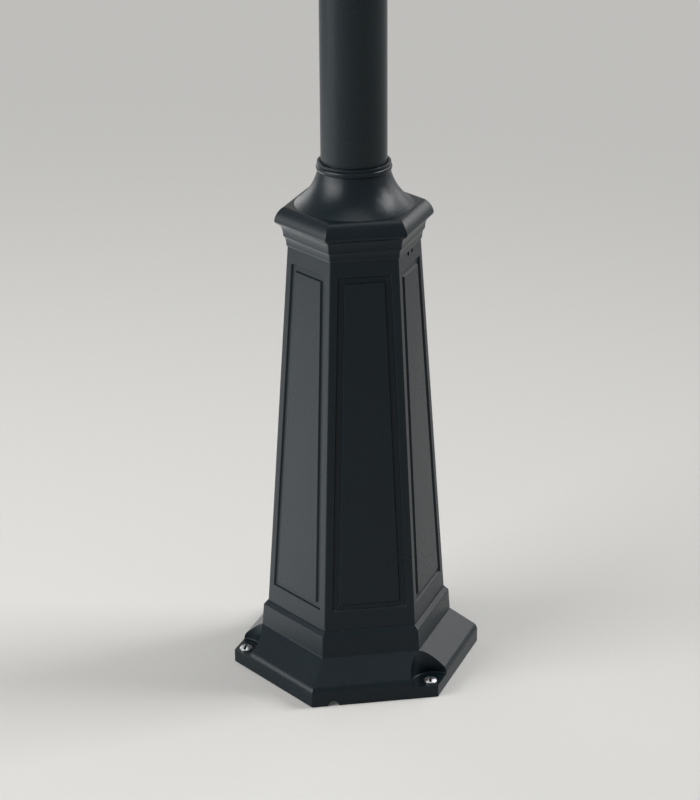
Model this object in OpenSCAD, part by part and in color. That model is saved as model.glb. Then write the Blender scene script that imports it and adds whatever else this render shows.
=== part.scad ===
// Lantern lamp post: a cast six-sided pedestal, a round steel tube and a six-sided lantern.
// Millimetres, +Z up, origin at the centre of the foot's underside, one flat side facing -Y.

/* [Foot] */
// Reach of the foot beyond the plinth, at its corners
skirt_out = 27.5; // [24:0.5:32]
// Height at which the upright rim and the sloping skirt would meet
rim_h = 16.6; // [15:0.2:19]
// Radius that rounds the rim into the skirt
rim_round = 9; // [5:0.5:10]
// Height at which the skirt meets the plinth
skirt_h = 38.2; // [34:0.2:44]
// Reach of the plinth's lower edge beyond the body, at its corners
plinth_out = 6.2; // [5:0.2:9]
// Reach of the plinth's upper edge beyond the body, at its corners
plinth_top_out = 4.7; // [3:0.1:5]
// Height of the upright faces of the plinth
plinth_h = 20.3; // [16:0.1:26]
// Height of the bevel on top of the plinth
bevel_h = 4; // [3:0.5:6]
// Wall of the foot casting
foot_wall = 6; // [5:0.5:7]
// Thickness of the rim, measured over its corners
rim_t = 12; // [10:0.5:14]
// Length of the locating ring that stands up into the body
foot_ring_h = 10; // [8:1:14]
// Thickness of the three ribs that carry the tie rod
rib_t = 8; // [6:0.5:10]
// Depth of those ribs
rib_h = 16; // [12:1:20]
// Diameter of the boss where the ribs meet
hub_d = 30; // [24:1:36]

/* [Ground fixing] */
// Height of the flat pads under the screw heads
pad_h = 12; // [10:0.5:14]
// Distance from a corner of the foot in to its screw
screw_in = 11.2; // [10:0.2:12]
// Distance from a corner of the foot in to the middle of its round pocket
pocket_in = 4; // [2:0.5:6]
// Diameter of the holes for the ground screws
screw_hole_d = 7; // [6.6:0.1:8]
// Shank diameter of the ground screws
screw_d = 6; // [5:0.1:6.2]
// Head diameter of the ground screws
screw_head_d = 12; // [10:0.5:13]
// Head height of the ground screws
screw_head_h = 3.6; // [3:0.2:4]
// Width of the arched notch in the bottom edge
notch_w = 8.8; // [6:0.2:12]
// Distance of the notch from the corner on its left
notch_in = 20.2; // [18:0.2:30]

/* [Body] */
// Width of the body over corners, at its bottom
body_w0 = 170.6; // [166:0.2:174]
// Width of the body over corners, at its top
body_w1 = 122.6; // [118:0.2:128]
// Height of the body
body_h = 354.5; // [300:0.5:420]
// Wall of the body casting
body_wall = 5; // [4.5:0.1:5.5]
// Margin from the edge of a face to its panel groove
panel_side = 8; // [6:0.5:10]
// Margin below the panel groove
panel_low = 20; // [14:0.5:26]
// Margin above the panel groove
panel_high = 15; // [12:0.5:20]
// Width of the panel groove
groove_w = 5; // [3.5:0.5:6.5]
// Depth of the panel groove
groove_d = 2.2; // [1.2:0.1:3]
// Diameter of the set screws in the top rail
set_d = 4; // [3.6:0.1:5]
// Distance of the set screws below the top edge
set_drop = 3.4; // [3.2:0.2:6]
// Distance between the two set screws of a pair
set_pitch = 10; // [8:0.5:14]

/* [Crown] */
// Amount by which the foot of the crown moulding stands out from the body
crown_proud = 0.4; // [0.2:0.1:1]
// Outward run of the chamfer at the foot of the crown moulding
toe_out = 0.9; // [0.4:0.1:1.4]
// Height of that chamfer
toe_h = 2.6; // [1.6:0.2:4]
// Outward run of the moulding's lower hollow
low_cove_out = 2.6; // [1.8:0.2:3.2]
// Height of the lower hollow
low_cove_h = 7.2; // [5:0.2:9]
// Height of the fillet between the two hollows
cove_step = 0.6; // [0.4:0.1:1.2]
// Outward run of the moulding's upper hollow
cove_out = 4; // [3:0.2:4.8]
// Height of the upper hollow
cove_h = 10.2; // [8:0.2:13]
// Radius of the bead under the round nose
bead_r = 2.4; // [1.5:0.1:3]
// Step up from the upper hollow to the bead
bead_step = 1.4; // [0.8:0.2:2]
// Total outward reach of the moulding
nose_out = 11.4; // [10.2:0.2:13]
// Run of the round nose back to the shelf
nose_run = 10; // [8:0.2:12]
// Rise of the round nose
nose_rise = 13; // [10:0.2:15]
// Height of the bell between the shelf and the neck
bell_h = 32; // [26:0.5:40]
// Margin between the bell and the edge of the shelf
shelf_edge = 0.6; // [0.3:0.1:2]
// Wall of the neck around the tube
neck_wall = 2.4; // [2:0.1:3]
// Height of the round bead on the neck
neck_bead_h = 5.2; // [4:0.2:7]
// Reach of that bead
neck_bead_out = 1.5; // [1:0.1:2.2]
// Height of the thin lip above the bead
lip_h = 2.8; // [2:0.1:4]
// Length of the crown's spigot inside the body
spigot_h = 20; // [14:1:26]
// Wall of the crown casting
crown_wall = 5.5; // [4.5:0.1:6]
// Thickness of the ledge under the tube
ledge_t = 4; // [3:0.5:6]

/* [Tube] */
// Outer diameter of the tube
tube_d = 60; // [57:0.5:62]
// Wall of the tube
tube_wall = 2.5; // [2:0.1:3.5]
// Length of the tube
tube_len = 1275; // [900:5:1900]
// Diameter of the tie rod
rod_d = 10; // [8:0.5:12]
// Thickness of the plate welded into the tube's lower end
anchor_t = 8; // [6:0.5:12]
// Height of the rubber ring that seals the neck
seal_h = 3; // [2:0.1:4]

/* [Fitter] */
// Length of the socket over the tube's top end
socket_h = 52; // [40:1:70]
// Wall of the socket
socket_wall = 5; // [4:0.5:6]
// Height of the flared part below the lantern
flare_h = 34; // [26:1:44]
// Diameter of the flange under the tray
flange_d = 120; // [112:1:126]
// Thickness of that flange
flange_t = 4; // [3:0.5:6]
// Diameter of the socket's set screws
fitter_screw_d = 6; // [5:0.5:8]

/* [Tray] */
// Width of the tray over corners, at its bottom
tray_w = 160; // [152:1:170]
// Thickness of the tray's floor
tray_floor = 5; // [4:0.5:7]
// Diameter of the bolts that hold the tray to the fitter
tray_bolt_d = 5; // [4:0.5:6]

/* [Cage] */
// Width of the cage over corners, at its bottom
cage_w0 = 156; // [150:1:160]
// Width of the cage over corners, at its top
cage_w1 = 244; // [230:1:256]
// Height of the cage
cage_h = 230; // [200:1:280]
// Thickness of the cage bars
cage_wall = 6; // [5:0.5:7]
// Width of the bars beside a corner
stile_w = 8; // [7:0.5:11]
// Height of the bottom rail
rail_low = 16; // [13:0.5:20]
// Height of the top rail
rail_high = 24; // [20:0.5:28]
// Height of the upright band around the top
band_h = 18; // [17:0.5:20]
// Reach of that band past the bars, over its corners
band_out = 3; // [2:0.5:5]
// Thickness of the glass
glass_t = 3; // [2.5:0.1:4]
// Lap of the glass behind the rails
glass_lap = 4; // [3:0.5:6]
// Thickness of the clips
clip_t = 1.2; // [0.8:0.1:1.6]
// Width of the clips
clip_w = 12; // [8:1:16]

/* [Lamp] */
// Diameter of the lampholder
holder_d = 42; // [38:1:46]
// Height of the lampholder
holder_h = 54; // [46:1:60]
// Diameter of the lamp's screw cap
cap_d = 26.4; // [24:0.1:27]
// Length of the lamp's screw cap
cap_h = 27; // [22:1:30]
// Diameter of the lamp's globe
globe_d = 60; // [50:1:70]
// Height of the lamp's globe above the cap
globe_h = 82; // [74:1:100]
// Height of the bracket under the lampholder
bracket_h = 16; // [14:1:24]
// Length of the bracket
bracket_w = 66; // [60:1:80]

/* [Roof] */
// Wall of the roof
roof_wall = 3.5; // [3:0.1:4.5]
// Depth of the skirt that hangs over the cage's band
skirt_drop = 16; // [15:0.5:17]
// Height of the plain stretch of that skirt, below its moulding
skirt_plain = 12; // [11:0.5:13]
// Rise of the roof from its eaves moulding to its flat top
roof_h = 84; // [70:1:110]
// Width of the roof's flat top over corners
roof_top_w = 80; // [74:1:90]
// Diameter of the vent drum
drum_d = 58; // [54:1:60]
// Height of the vent drum
drum_h = 28; // [24:1:40]
// Width of the vent cap over corners
vent_cap_w = 96; // [88:1:110]
// Height of the vent cap
vent_cap_h = 24; // [20:1:32]
// Height of the finial
finial_h = 66; // [56:1:84]
// Diameter of the finial's ball
finial_d = 26; // [22:1:32]
// Diameter of the stud that clamps the cap and the finial
stud_d = 6; // [5:0.5:8]

/* [Hidden] */

// Clearances and small sizes shared by mating pieces
fit_gap = 0.4;
thin_gap = 0.2;
over = 1;
sides = 6;
round_fn = 72;
small_fn = 32;
curve_steps = 8;
apothem_share = cos(180 / sides);
side_angle = 360 / sides;
cove_steep_angle = 78;
cove_shallow_angle = 38;
bell_angle = 35;
bead_angles = [-60, -6];
nose_power_share = 1.25;
head_edge_share = 0.35;
head_dome_angle = 63;

casting_colour = "#1b1d1f";
steel_colour = "#b9bcc0";
dark_steel_colour = "#3a3d40";
rubber_colour = "#0c0d0e";
glass_colour = [0.86, 0.9, 0.92, 0.35];
white_colour = "#e9e7e0";
brass_colour = "#b08d4a";

// Foot: radii over corners and heights
body_r0 = body_w0 / 2;
plinth_r0 = body_r0 + plinth_out;
plinth_r1 = body_r0 + plinth_top_out;
foot_r = plinth_r0 + skirt_out;
plinth_z = skirt_h + plinth_h;
foot_z = plinth_z + bevel_h;
skirt_slope = atan2(skirt_h - rim_h, foot_r - plinth_r0);
wall_r = foot_wall / apothem_share;
cavity_drop = foot_wall / cos(skirt_slope);
bevel_edge = 0.6;
pocket_land = 0.5;
pocket_c = foot_r - pocket_in;
pocket_r = pocket_c - plinth_r0 - pocket_land;
screw_r = foot_r - screw_in;
screw_lift = 0.6;
recess_w = 8.4;
recess_t = 1.6;
recess_h = 1.6;
recess_angle = 20;
pocket_angles = [60, 180, 300];
hub_land = 1.2;
rib_z = skirt_h - rib_h / 2;
hub_h = rib_h + foot_wall;
hub_z = rib_z - hub_land;
rod_gap = 0.5;

// Body: radii over corners, heights and the lean of its faces
body_r1 = body_w1 / 2;
body_z = foot_z + body_h;
body_lean = atan2((body_r1 - body_r0) * apothem_share, body_h);
body_wall_r = body_wall / (apothem_share * cos(body_lean));
foot_ring_r = body_r0 - body_wall_r - fit_gap;
foot_ring_r1 = foot_ring_r - (body_r0 - body_r1) * foot_ring_h / body_h;
set_face_angle = -30;
set_key_d = 2;
set_sink = [1.6, 0.3];

// Crown: the moulding starts on the body and the bell stands on its shelf
crown_r = body_r1 + crown_proud;
spigot_r = body_r1 - body_wall_r - fit_gap;
spigot_in_r = spigot_r - crown_wall / apothem_share;
crown_z = body_z - spigot_h;
hollows_out = toe_out + low_cove_out + cove_out;
hollows_h = toe_h + low_cove_h + cove_step + cove_h;
moulding_h = hollows_h + bead_step + bead_r + nose_rise;
shelf_r = crown_r + nose_out - nose_run;
shelf_z = body_z + moulding_h;
bell_r = shelf_r * apothem_share - shelf_edge;
tube_r = tube_d / 2;
tube_in_r = tube_r - tube_wall;
bore_r = tube_r + fit_gap;
sleeve_r = bore_r + crown_wall;
neck_r = bore_r + neck_wall;
bell_z = shelf_z + bell_h;
lip_z = bell_z + neck_bead_h;
mouth_z = lip_z + lip_h;
mouth_round = 0.5;
seal_r = bore_r + fit_gap;
seal_sink = 2;

// Tube and the rod that ties the pedestal together
tube_z = crown_z + ledge_t;
tube_top = tube_z + tube_len;
ledge_in = tube_in_r - ledge_t;
anchor_up = 4;
anchor_z = tube_z + anchor_up;
anchor_r = tube_in_r - thin_gap;
nut_h = 0.8 * rod_d;
nut_w = 1.7 * rod_d;
washer_t = 2;
washer_w = 2.4 * rod_d;
rod_end = 4;
rod_z = hub_z - washer_t - nut_h - rod_end;

// Fitter: a socket over the tube that flares out to the lantern
socket_r = bore_r + socket_wall;
socket_z = tube_top - socket_h;
flange_r = flange_d / 2;
flange_z = tube_top + flare_h;
stop_t = 5;
wire_r = 8;
socket_screw_angles = [30, 150, 270];
fitter_screw_z = socket_z + socket_h / 2;
fitter_head_t = 5;
fitter_head_r = 6;

// Tray: the crown's moulding again, at a share of its size
tray_share = 0.8;
tray_r = tray_w / 2;
tray_z = flange_z;
tray_top = tray_z + moulding_h * tray_share;
dish_z = tray_z + tray_floor;
bolt_circle = flange_r - tray_bolt_d - fit_gap;
bolt_head_r = 0.9 * tray_bolt_d;
bolt_head_h = 0.6 * tray_bolt_d;
bolt_len = 16;
dish_r = (cage_w0 / 2) - cage_wall / apothem_share - 2 * fit_gap;

// Cage: a six-sided frame that leans outwards, glazed from inside
cage_r0 = cage_w0 / 2;
cage_r1 = cage_w1 / 2;
cage_z = tray_top;
cage_top = cage_z + cage_h;
cage_lean = atan2((cage_r1 - cage_r0) * apothem_share, cage_h);
cage_slant = cage_h / cos(cage_lean);
cage_wall_r = cage_wall / (apothem_share * cos(cage_lean));
band_r = cage_r1 + band_out;
band_t = 6;
glass_back = cage_wall + glass_t;
glass_side = glass_back * tan(180 / sides) + fit_gap;
clip_foot = 9;
clip_finger = 4;

// Lamp: bracket, nipple, holder, screw cap and globe on one axis
strap_w = 18;
strap_t = 2;
strap_foot = 14;
bracket_screw_d = 4;
bracket_z = dish_z + bracket_h;
nipple_r = 5;
nipple_wall = 1.5;
nipple_up = 10;
nipple_down = 9;
nipple_nut_h = 3.5;
nipple_nut_w = 14;
holder_z = bracket_z;
holder_base = 14;
holder_rim = 1.5;
holder_rim_h = 5;
cap_r = cap_d / 2;
cap_z = holder_z + holder_base;
cap_top = cap_z + cap_h;
holder_bore_r = cap_r + fit_gap;
globe_r = globe_d / 2;
globe_set = 1;
globe_neck = cap_r - globe_set;
globe_mid = cap_top + globe_h - globe_r;
globe_neck_angle = 42;
globe_steep_angle = 84;
block_size = [34, 18, 15];
block_hole_r = 1.8;
block_pitch = 10;
block_y = 44;
earth_d = 4;
earth_x = 34;

// Roof: a lid with a skirt outside the cage's band, and what stands on it
eaves_share = 0.6;
roof_z = cage_top;
roof_in_r = band_r + fit_gap + thin_gap;
roof_r = roof_in_r + roof_wall / apothem_share;
eaves_z = roof_z - skirt_drop + skirt_plain;
eaves_top = eaves_z + moulding_h * eaves_share;
eaves_shelf_r = roof_r + (nose_out - nose_run) * eaves_share;
roof_top_z = eaves_top + roof_h;
roof_top_r = roof_top_w / 2;
roof_low_angle = 24;
roof_steep_angle = 66;
roof_seat_r = band_r - band_t - band_out;
vent_r = drum_d / 2 - roof_wall - 3 * fit_gap;
bridge_w = 12;
bridge_t = 4;
drum_r = drum_d / 2;
drum_wall = 2.5;
drum_foot = 2.5;
drum_foot_out = 2;
drum_top = roof_top_z + drum_h;
slots = 10;
slot_w = 5;
slot_h = 0.5 * drum_h;
cap_r0 = vent_cap_w / 2;
cap_edge = 4;
cap_lap = 5;
cap_hub_r = 10;
vent_cap_top = drum_top + vent_cap_h;
finial_r = finial_d / 2;
finial_neck_z = vent_cap_top + finial_h / 4;
finial_neck = 5;
finial_tip = 1;
finial_neck_angle = 88;
finial_ball_angle = 60;
finial_point_angles = [60, 86];
stud_up = 20;
stud_end = 1;
stud_nut_h = 0.8 * stud_d;
stud_nut_w = 1.7 * stud_d;
stud_z = roof_top_z - bridge_t;
roof_screw_d = 4;
roof_screw_head_r = 5;
roof_screw_z = roof_z - skirt_drop + skirt_plain / 2;
roof_screw_angles = [30, 150, 270];

// A curve from p to q whose slope turns from angle a to angle b, measured from level
function flare(p, q, a, b) = [for (i = [0 : curve_steps])
    let (t = a + (b - a) * i / curve_steps)
    [p.x + (q.x - p.x) * (sin(t) - sin(a)) / (sin(b) - sin(a)),
     p.y + (q.y - p.y) * (cos(a) - cos(t)) / (cos(a) - cos(b))]];

// A circular arc about c, radius r, from angle a to angle b
function arc(c, r, a, b) = [for (i = [0 : curve_steps])
    let (t = a + (b - a) * i / curve_steps) c + r * [cos(t), sin(t)]];

// A slightly flattened quarter round from its widest point, at height z, in to radius r
function nose(r, z, run, rise) = [for (i = [0 : curve_steps])
    let (t = 90 * i / curve_steps)
    [r + run * pow(cos(t), nose_power_share), z + rise * pow(sin(t), nose_power_share)]];

// The pedestal's moulding from radius r at height z, at share k: a chamfer, two hollows with a fillet
// between them, a bead and a round nose
function moulding(r, z, k) = concat(
    [[r, z]],
    flare([r + toe_out * k, z + toe_h * k],
        [r + (hollows_out - cove_out) * k, z + (toe_h + low_cove_h) * k],
        cove_steep_angle, cove_shallow_angle),
    flare([r + (hollows_out - cove_out) * k, z + (hollows_h - cove_h) * k],
        [r + hollows_out * k, z + hollows_h * k], cove_steep_angle, cove_shallow_angle),
    arc([r + (nose_out - bead_r) * k, z + (hollows_h + bead_step + bead_r) * k], bead_r * k,
        bead_angles[0], bead_angles[1]),
    nose(r + (nose_out - nose_run) * k, z + (hollows_h + bead_step + bead_r) * k,
        nose_run * k, nose_rise * k));

// The upper outline of a neck's round bead of height h, standing on radius r at height z
function neck_bead(r, z, h) = [for (i = [0 : curve_steps])
    let (t = -90 + 180 * i / curve_steps)
    [r + neck_bead_out * cos(t), z + h * (1 + sin(t)) / 2]];

// The outline of a panel on a face of half widths h0 and h1 and slant s, inset from its edges
function inset_face(h0, h1, s, side, low, high) =
    let (at_low = h0 + (h1 - h0) * low / s - side, at_high = h1 - (h1 - h0) * high / s - side)
    [[-at_low, low], [at_low, low], [at_high, s - high], [-at_high, s - high]];

// A mitred six-sided solid from a profile of corner radius and height
module hex_turn(points) rotate_extrude($fn = sides) polygon(points);

// A turned solid from a profile of radius and height
module turn(points) rotate_extrude($fn = round_fn) polygon(points);

// A six-sided prism between two heights
module hex_prism(r, z0, z1) translate([0, 0, z0]) cylinder(r = r, h = z1 - z0, $fn = sides);

// A round bar between two heights
module bar(r, z0, z1, fn = small_fn) translate([0, 0, z0]) cylinder(r = r, h = z1 - z0, $fn = fn);

// Places children on face i of a six-sided frustum: X outwards, Y along the face, Z up its slope
module on_face(i, r0, z0, lean) rotate([0, 0, side_angle * (i + 0.5)])
    translate([r0 * apothem_share, 0, z0]) rotate([0, lean, 0]) children();

// A slab of thickness t standing on a face frame, its near side at depth x
module slab(x, t) translate([x, 0, 0]) rotate([90, 0, 90]) linear_extrude(t) children();

// Repeats children at each angle of a list
module at_angles(angles) for (a = angles) rotate([0, 0, a]) children();

// A radial bar that points outwards along X, from radius r0 to radius r1, at height z
module spoke(r, r0, r1, z, fn = small_fn) translate([r0, 0, z]) rotate([0, 90, 0])
    cylinder(r = r, h = r1 - r0, $fn = fn);

// A domed screw with its head's underside at height z and its tip at height z0
module pan_screw(d, head_r, head_h, z, z0)
    turn(concat([[0, z0], [d / 2, z0], [d / 2, z], [head_r, z]],
        [for (i = [0 : curve_steps])
            let (t = head_dome_angle * i / curve_steps,
                rise = head_edge_share + (1 - head_edge_share) * sin(t) / sin(head_dome_angle))
            [head_r * cos(t), z + head_h * rise]],
        [[0, z + head_h]]));

module foot_shell() hex_turn(concat(
    [[0, 0], [foot_r, 0]],
    arc([foot_r - rim_round, rim_h - rim_round * tan((90 - skirt_slope) / 2)], rim_round,
        0, 90 - skirt_slope),
    [[plinth_r0, skirt_h], [plinth_r1, plinth_z], [body_r0 + bevel_edge, foot_z],
     [foot_ring_r, foot_z], [foot_ring_r1, foot_z + foot_ring_h], [0, foot_z + foot_ring_h]]));

module foot_hollow() difference() {
    hex_turn([[0, -over], [foot_r - rim_t, -over], [foot_r - rim_t, rim_h - cavity_drop],
        [plinth_r0 - wall_r, skirt_h + wall_r * tan(skirt_slope) - cavity_drop],
        [plinth_r1 - wall_r, plinth_z - foot_wall], [foot_ring_r - wall_r, foot_z],
        [foot_ring_r - wall_r, foot_z + foot_ring_h + over], [0, foot_z + foot_ring_h + over]]);
    at_angles(pocket_angles) translate([pocket_c, 0, -over])
        cylinder(r = pocket_r + foot_wall, h = foot_z + over, $fn = round_fn);
}

// Cast foot: rim, skirt and plinth, hollow below, with three screw pockets and a ribbed hub
module foot_casting() color(casting_colour) difference() {
    union() {
        difference() {
            foot_shell();
            foot_hollow();
        }
        at_angles([0, 120, 240]) translate([hub_d / 4, -rib_t / 2, rib_z])
            cube([plinth_r1 - foot_wall / 2 - hub_d / 4, rib_t, rib_h]);
        bar(hub_d / 2, hub_z, rib_z + hub_h, round_fn);
    }
    at_angles(pocket_angles) {
        translate([pocket_c, 0, pad_h]) cylinder(r = pocket_r, h = plinth_z, $fn = round_fn);
        translate([screw_r, 0, -over]) cylinder(d = screw_hole_d, h = pad_h + 2 * over,
            $fn = small_fn);
    }
    bar(rod_d / 2 + rod_gap, -over, foot_z);
    translate([notch_in - foot_r / 2, 0, 0]) rotate([90, 0, 0])
        cylinder(d = notch_w, h = foot_r, $fn = small_fn);
}

// Cast body: a tapered six-sided tube with a grooved panel on each face
module body_casting() color(casting_colour) difference() {
    hex_turn([[0, foot_z], [body_r0, foot_z], [body_r1, body_z], [0, body_z]]);
    hex_turn([[0, foot_z - over], [body_r0 - body_wall_r, foot_z - over],
        [body_r0 - body_wall_r, foot_z], [body_r1 - body_wall_r, body_z],
        [body_r1 - body_wall_r, body_z + over], [0, body_z + over]]);
    for (i = [0 : sides - 1]) on_face(i, body_r0, foot_z, body_lean)
        slab(-groove_d, groove_d + over) difference() {
            polygon(inset_face(body_r0 / 2, body_r1 / 2, body_h / cos(body_lean),
                panel_side, panel_low, panel_high));
            polygon(inset_face(body_r0 / 2, body_r1 / 2, body_h / cos(body_lean),
                panel_side + groove_w, panel_low + groove_w, panel_high + groove_w));
        }
    at_angles([set_face_angle, set_face_angle + 180]) for (s = [-1, 1]) translate([0, s * set_pitch / 2, 0])
        spoke(set_d / 2 + thin_gap / 2, spigot_in_r * apothem_share, body_r0, body_z - set_drop);
}

// Set screws through the body's top rail on to the crown's spigot
module crown_set_screws() color(dark_steel_colour)
    at_angles([set_face_angle, set_face_angle + 180]) for (s = [0, 1])
        translate([0, (s - 0.5) * set_pitch, 0]) difference() {
            spoke(set_d / 2, spigot_r * apothem_share + thin_gap / 2,
                body_r1 * apothem_share - set_sink[s], body_z - set_drop);
            spoke(set_key_d / 2, body_r1 * apothem_share - set_key_d - set_sink[s],
                body_r1 * apothem_share, body_z - set_drop, sides);
        }

// Domed cross-recessed screws that hold the foot to the ground, down to the foot's underside
module ground_screws() color(steel_colour)
    at_angles(pocket_angles) translate([screw_r, 0, 0]) difference() {
        pan_screw(screw_d, screw_head_d / 2, screw_head_h, pad_h, screw_lift);
        for (a = [0, 90]) rotate([0, 0, a + recess_angle])
            translate([-recess_w / 2, -recess_t / 2, pad_h + screw_head_h - recess_h])
                cube([recess_w, recess_t, recess_h + over]);
    }

// Cast crown: six-sided moulding, round bell and neck, with a sleeve and a ledge for the tube
module crown_casting() color(casting_colour) difference() {
    union() {
        hex_turn(concat(
            [[0, crown_z], [spigot_r, crown_z], [spigot_r, body_z]],
            moulding(crown_r, body_z, 1),
            [[0, shelf_z]]));
        turn(concat(
            [[0, shelf_z - crown_wall], [bell_r, shelf_z - crown_wall]],
            flare([bell_r, shelf_z], [neck_r, bell_z], bell_angle, cove_steep_angle),
            neck_bead(neck_r, bell_z, neck_bead_h),
            [[neck_r + mouth_round, lip_z + mouth_round],
             [neck_r + mouth_round, mouth_z - mouth_round],
             [neck_r, mouth_z], [0, mouth_z]]));
    }
    difference() {
        hex_turn([[0, crown_z - over], [spigot_in_r, crown_z - over], [spigot_in_r, body_z],
            [shelf_r - crown_wall, body_z + hollows_h / 2], [shelf_r - crown_wall, shelf_z - crown_wall],
            [0, shelf_z - crown_wall]]);
        bar(sleeve_r, crown_z - over, shelf_z, round_fn);
    }
    bar(ledge_in, crown_z - over, mouth_z, round_fn);
    bar(bore_r, tube_z, mouth_z + over, round_fn);
    bar(seal_r + thin_gap, mouth_z - seal_sink - seal_h, mouth_z + over, round_fn);
}

// Round steel tube
module post_tube() color(casting_colour) difference() {
    bar(tube_r, tube_z, tube_top, round_fn);
    bar(tube_in_r, tube_z - over, tube_top + over, round_fn);
}

// Steel plate in the tube's lower end that takes the tie rod, notched for the cable
module tube_anchor() color(dark_steel_colour) difference() {
    bar(anchor_r, anchor_z, anchor_z + anchor_t, round_fn);
    bar(rod_d / 2 + thin_gap / 2, anchor_z - over, anchor_z + anchor_t + over);
    at_angles([0, 180]) translate([anchor_r, 0, anchor_z - over])
        cylinder(r = anchor_r / 3, h = anchor_t + 2 * over, $fn = small_fn);
}

// Rubber ring between the neck and the tube
module neck_seal() color(rubber_colour) difference() {
    bar(seal_r, mouth_z - seal_sink - seal_h, mouth_z - seal_sink, round_fn);
    bar(tube_r + thin_gap / 2, crown_z, mouth_z, round_fn);
}

// Threaded rod that pulls tube, crown and body down on to the foot
module tie_rod() color(steel_colour)
    bar(rod_d / 2, rod_z, anchor_z + anchor_t + rod_end);

module tie_rod_washer() color(steel_colour) difference() {
    bar(washer_w / 2, hub_z - washer_t, hub_z);
    bar(rod_d / 2 + rod_gap, hub_z - washer_t - over, hub_z + over);
}

module tie_rod_nut() color(steel_colour) difference() {
    hex_prism(nut_w / 2 / apothem_share, hub_z - washer_t - nut_h, hub_z - washer_t);
    bar(rod_d / 2 + thin_gap / 2, hub_z - washer_t - nut_h - over, hub_z);
}

// Cast fitter: a socket with a beaded mouth that flares out to a round flange
module fitter_casting() color(casting_colour) difference() {
    turn(concat(
        [[0, socket_z]],
        neck_bead(socket_r, socket_z, neck_bead_h),
        flare([socket_r, tube_top - stop_t], [flange_r - flange_t, flange_z - flange_t],
            cove_steep_angle, bell_angle),
        [[flange_r, flange_z - flange_t], [flange_r, flange_z], [0, flange_z]]));
    bar(bore_r, socket_z - over, tube_top, round_fn);
    bar(wire_r, socket_z, flange_z + over);
    turn([[0, tube_top + stop_t], [bore_r - stop_t, tube_top + stop_t],
        [bolt_circle - 2 * tray_bolt_d, flange_z - 2 * flange_t],
        [bolt_circle - 2 * tray_bolt_d, flange_z + over], [0, flange_z + over]]);
    at_angles(socket_screw_angles)
        spoke(fitter_screw_d / 2 + thin_gap / 2, tube_r - over, socket_r + over, fitter_screw_z);
    at_angles([0, 120, 240]) translate([bolt_circle, 0, flange_z - bolt_len])
        cylinder(d = tray_bolt_d + thin_gap, h = bolt_len + over, $fn = small_fn);
}

// Set screws that grip the tube inside the fitter
module fitter_set_screws() color(dark_steel_colour) at_angles(socket_screw_angles) {
    spoke(fitter_screw_d / 2, tube_r + thin_gap / 2, socket_r + thin_gap, fitter_screw_z);
    spoke(fitter_head_r, socket_r + thin_gap, socket_r + thin_gap + fitter_head_t,
        fitter_screw_z, sides);
}

// Cast tray: the crown's moulding again, dished on top, with a wire hole and bolt holes
module tray_casting() color(casting_colour) difference() {
    hex_turn(concat([[0, tray_z]], moulding(tray_r, tray_z, tray_share), [[0, tray_top]]));
    hex_prism(dish_r, dish_z, tray_top + over);
    bar(wire_r, tray_z - over, dish_z + over);
    at_angles([0, 120, 240]) translate([bolt_circle, 0, tray_z - over])
        cylinder(d = tray_bolt_d + thin_gap, h = tray_floor + 2 * over, $fn = small_fn);
    for (s = [-1, 1]) translate([s * (bracket_w - strap_foot) / 2, 0, tray_z - over])
        cylinder(d = bracket_screw_d + thin_gap, h = tray_floor + 2 * over, $fn = small_fn);
    translate([earth_x, block_y, tray_z - over])
        cylinder(d = earth_d + thin_gap, h = tray_floor + 2 * over, $fn = small_fn);
}

// Bolts from the tray down into the fitter's flange
module tray_bolts() color(steel_colour) at_angles([0, 120, 240]) translate([bolt_circle, 0, 0])
    pan_screw(tray_bolt_d, bolt_head_r, bolt_head_h, dish_z, dish_z - bolt_len + thin_gap);

// Cast cage: six leaning bars between a bottom rail and a banded top rail
module cage_frame() color(casting_colour) difference() {
    union() {
        hex_turn([[0, cage_z], [cage_r0, cage_z], [cage_r1, cage_top], [0, cage_top]]);
        hex_prism(band_r, cage_top - band_h, cage_top);
    }
    hex_turn([[0, cage_z - over], [cage_r0 - cage_wall_r, cage_z - over],
        [cage_r0 - cage_wall_r, cage_z], [cage_r1 - cage_wall_r, cage_top],
        [cage_r1 - cage_wall_r, cage_top + over], [0, cage_top + over]]);
    for (i = [0 : sides - 1]) on_face(i, cage_r0, cage_z, cage_lean)
        slab(-2 * cage_wall, 3 * cage_wall) polygon(inset_face(cage_r0 / 2, cage_r1 / 2,
            cage_slant, stile_w, rail_low, rail_high));
}

// One pane of glass, which lies against the inside of the bars of face i
module glass_pane(i) color(glass_colour) on_face(i, cage_r0, cage_z, cage_lean)
    slab(-glass_back, glass_t) polygon(inset_face(cage_r0 / 2, cage_r1 / 2, cage_slant,
        glass_side, rail_low - glass_lap, rail_high - glass_lap));

// Stepped clips that hold the panes, one at the bottom and one at the top of each
module pane_clips() color(steel_colour)
    for (i = [0 : sides - 1]) on_face(i, cage_r0, cage_z, cage_lean) {
        clip(rail_low - glass_lap - fit_gap, 1);
        clip(cage_slant - rail_high + glass_lap + fit_gap, -1);
    }

// A clip whose step is at height z of the slope, its finger pointing up or down
module clip(z, way) rotate([90, 0, 0]) linear_extrude(clip_w, center = true) polygon([
    [-cage_wall, z - way * clip_foot], [-cage_wall, z],
    [-glass_back - thin_gap, z], [-glass_back - thin_gap, z + way * (clip_finger + fit_gap)],
    [-glass_back - thin_gap - clip_t, z + way * (clip_finger + fit_gap)],
    [-glass_back - thin_gap - clip_t, z - way * clip_t],
    [-cage_wall - clip_t, z - way * clip_t], [-cage_wall - clip_t, z - way * clip_foot]]);

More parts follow.
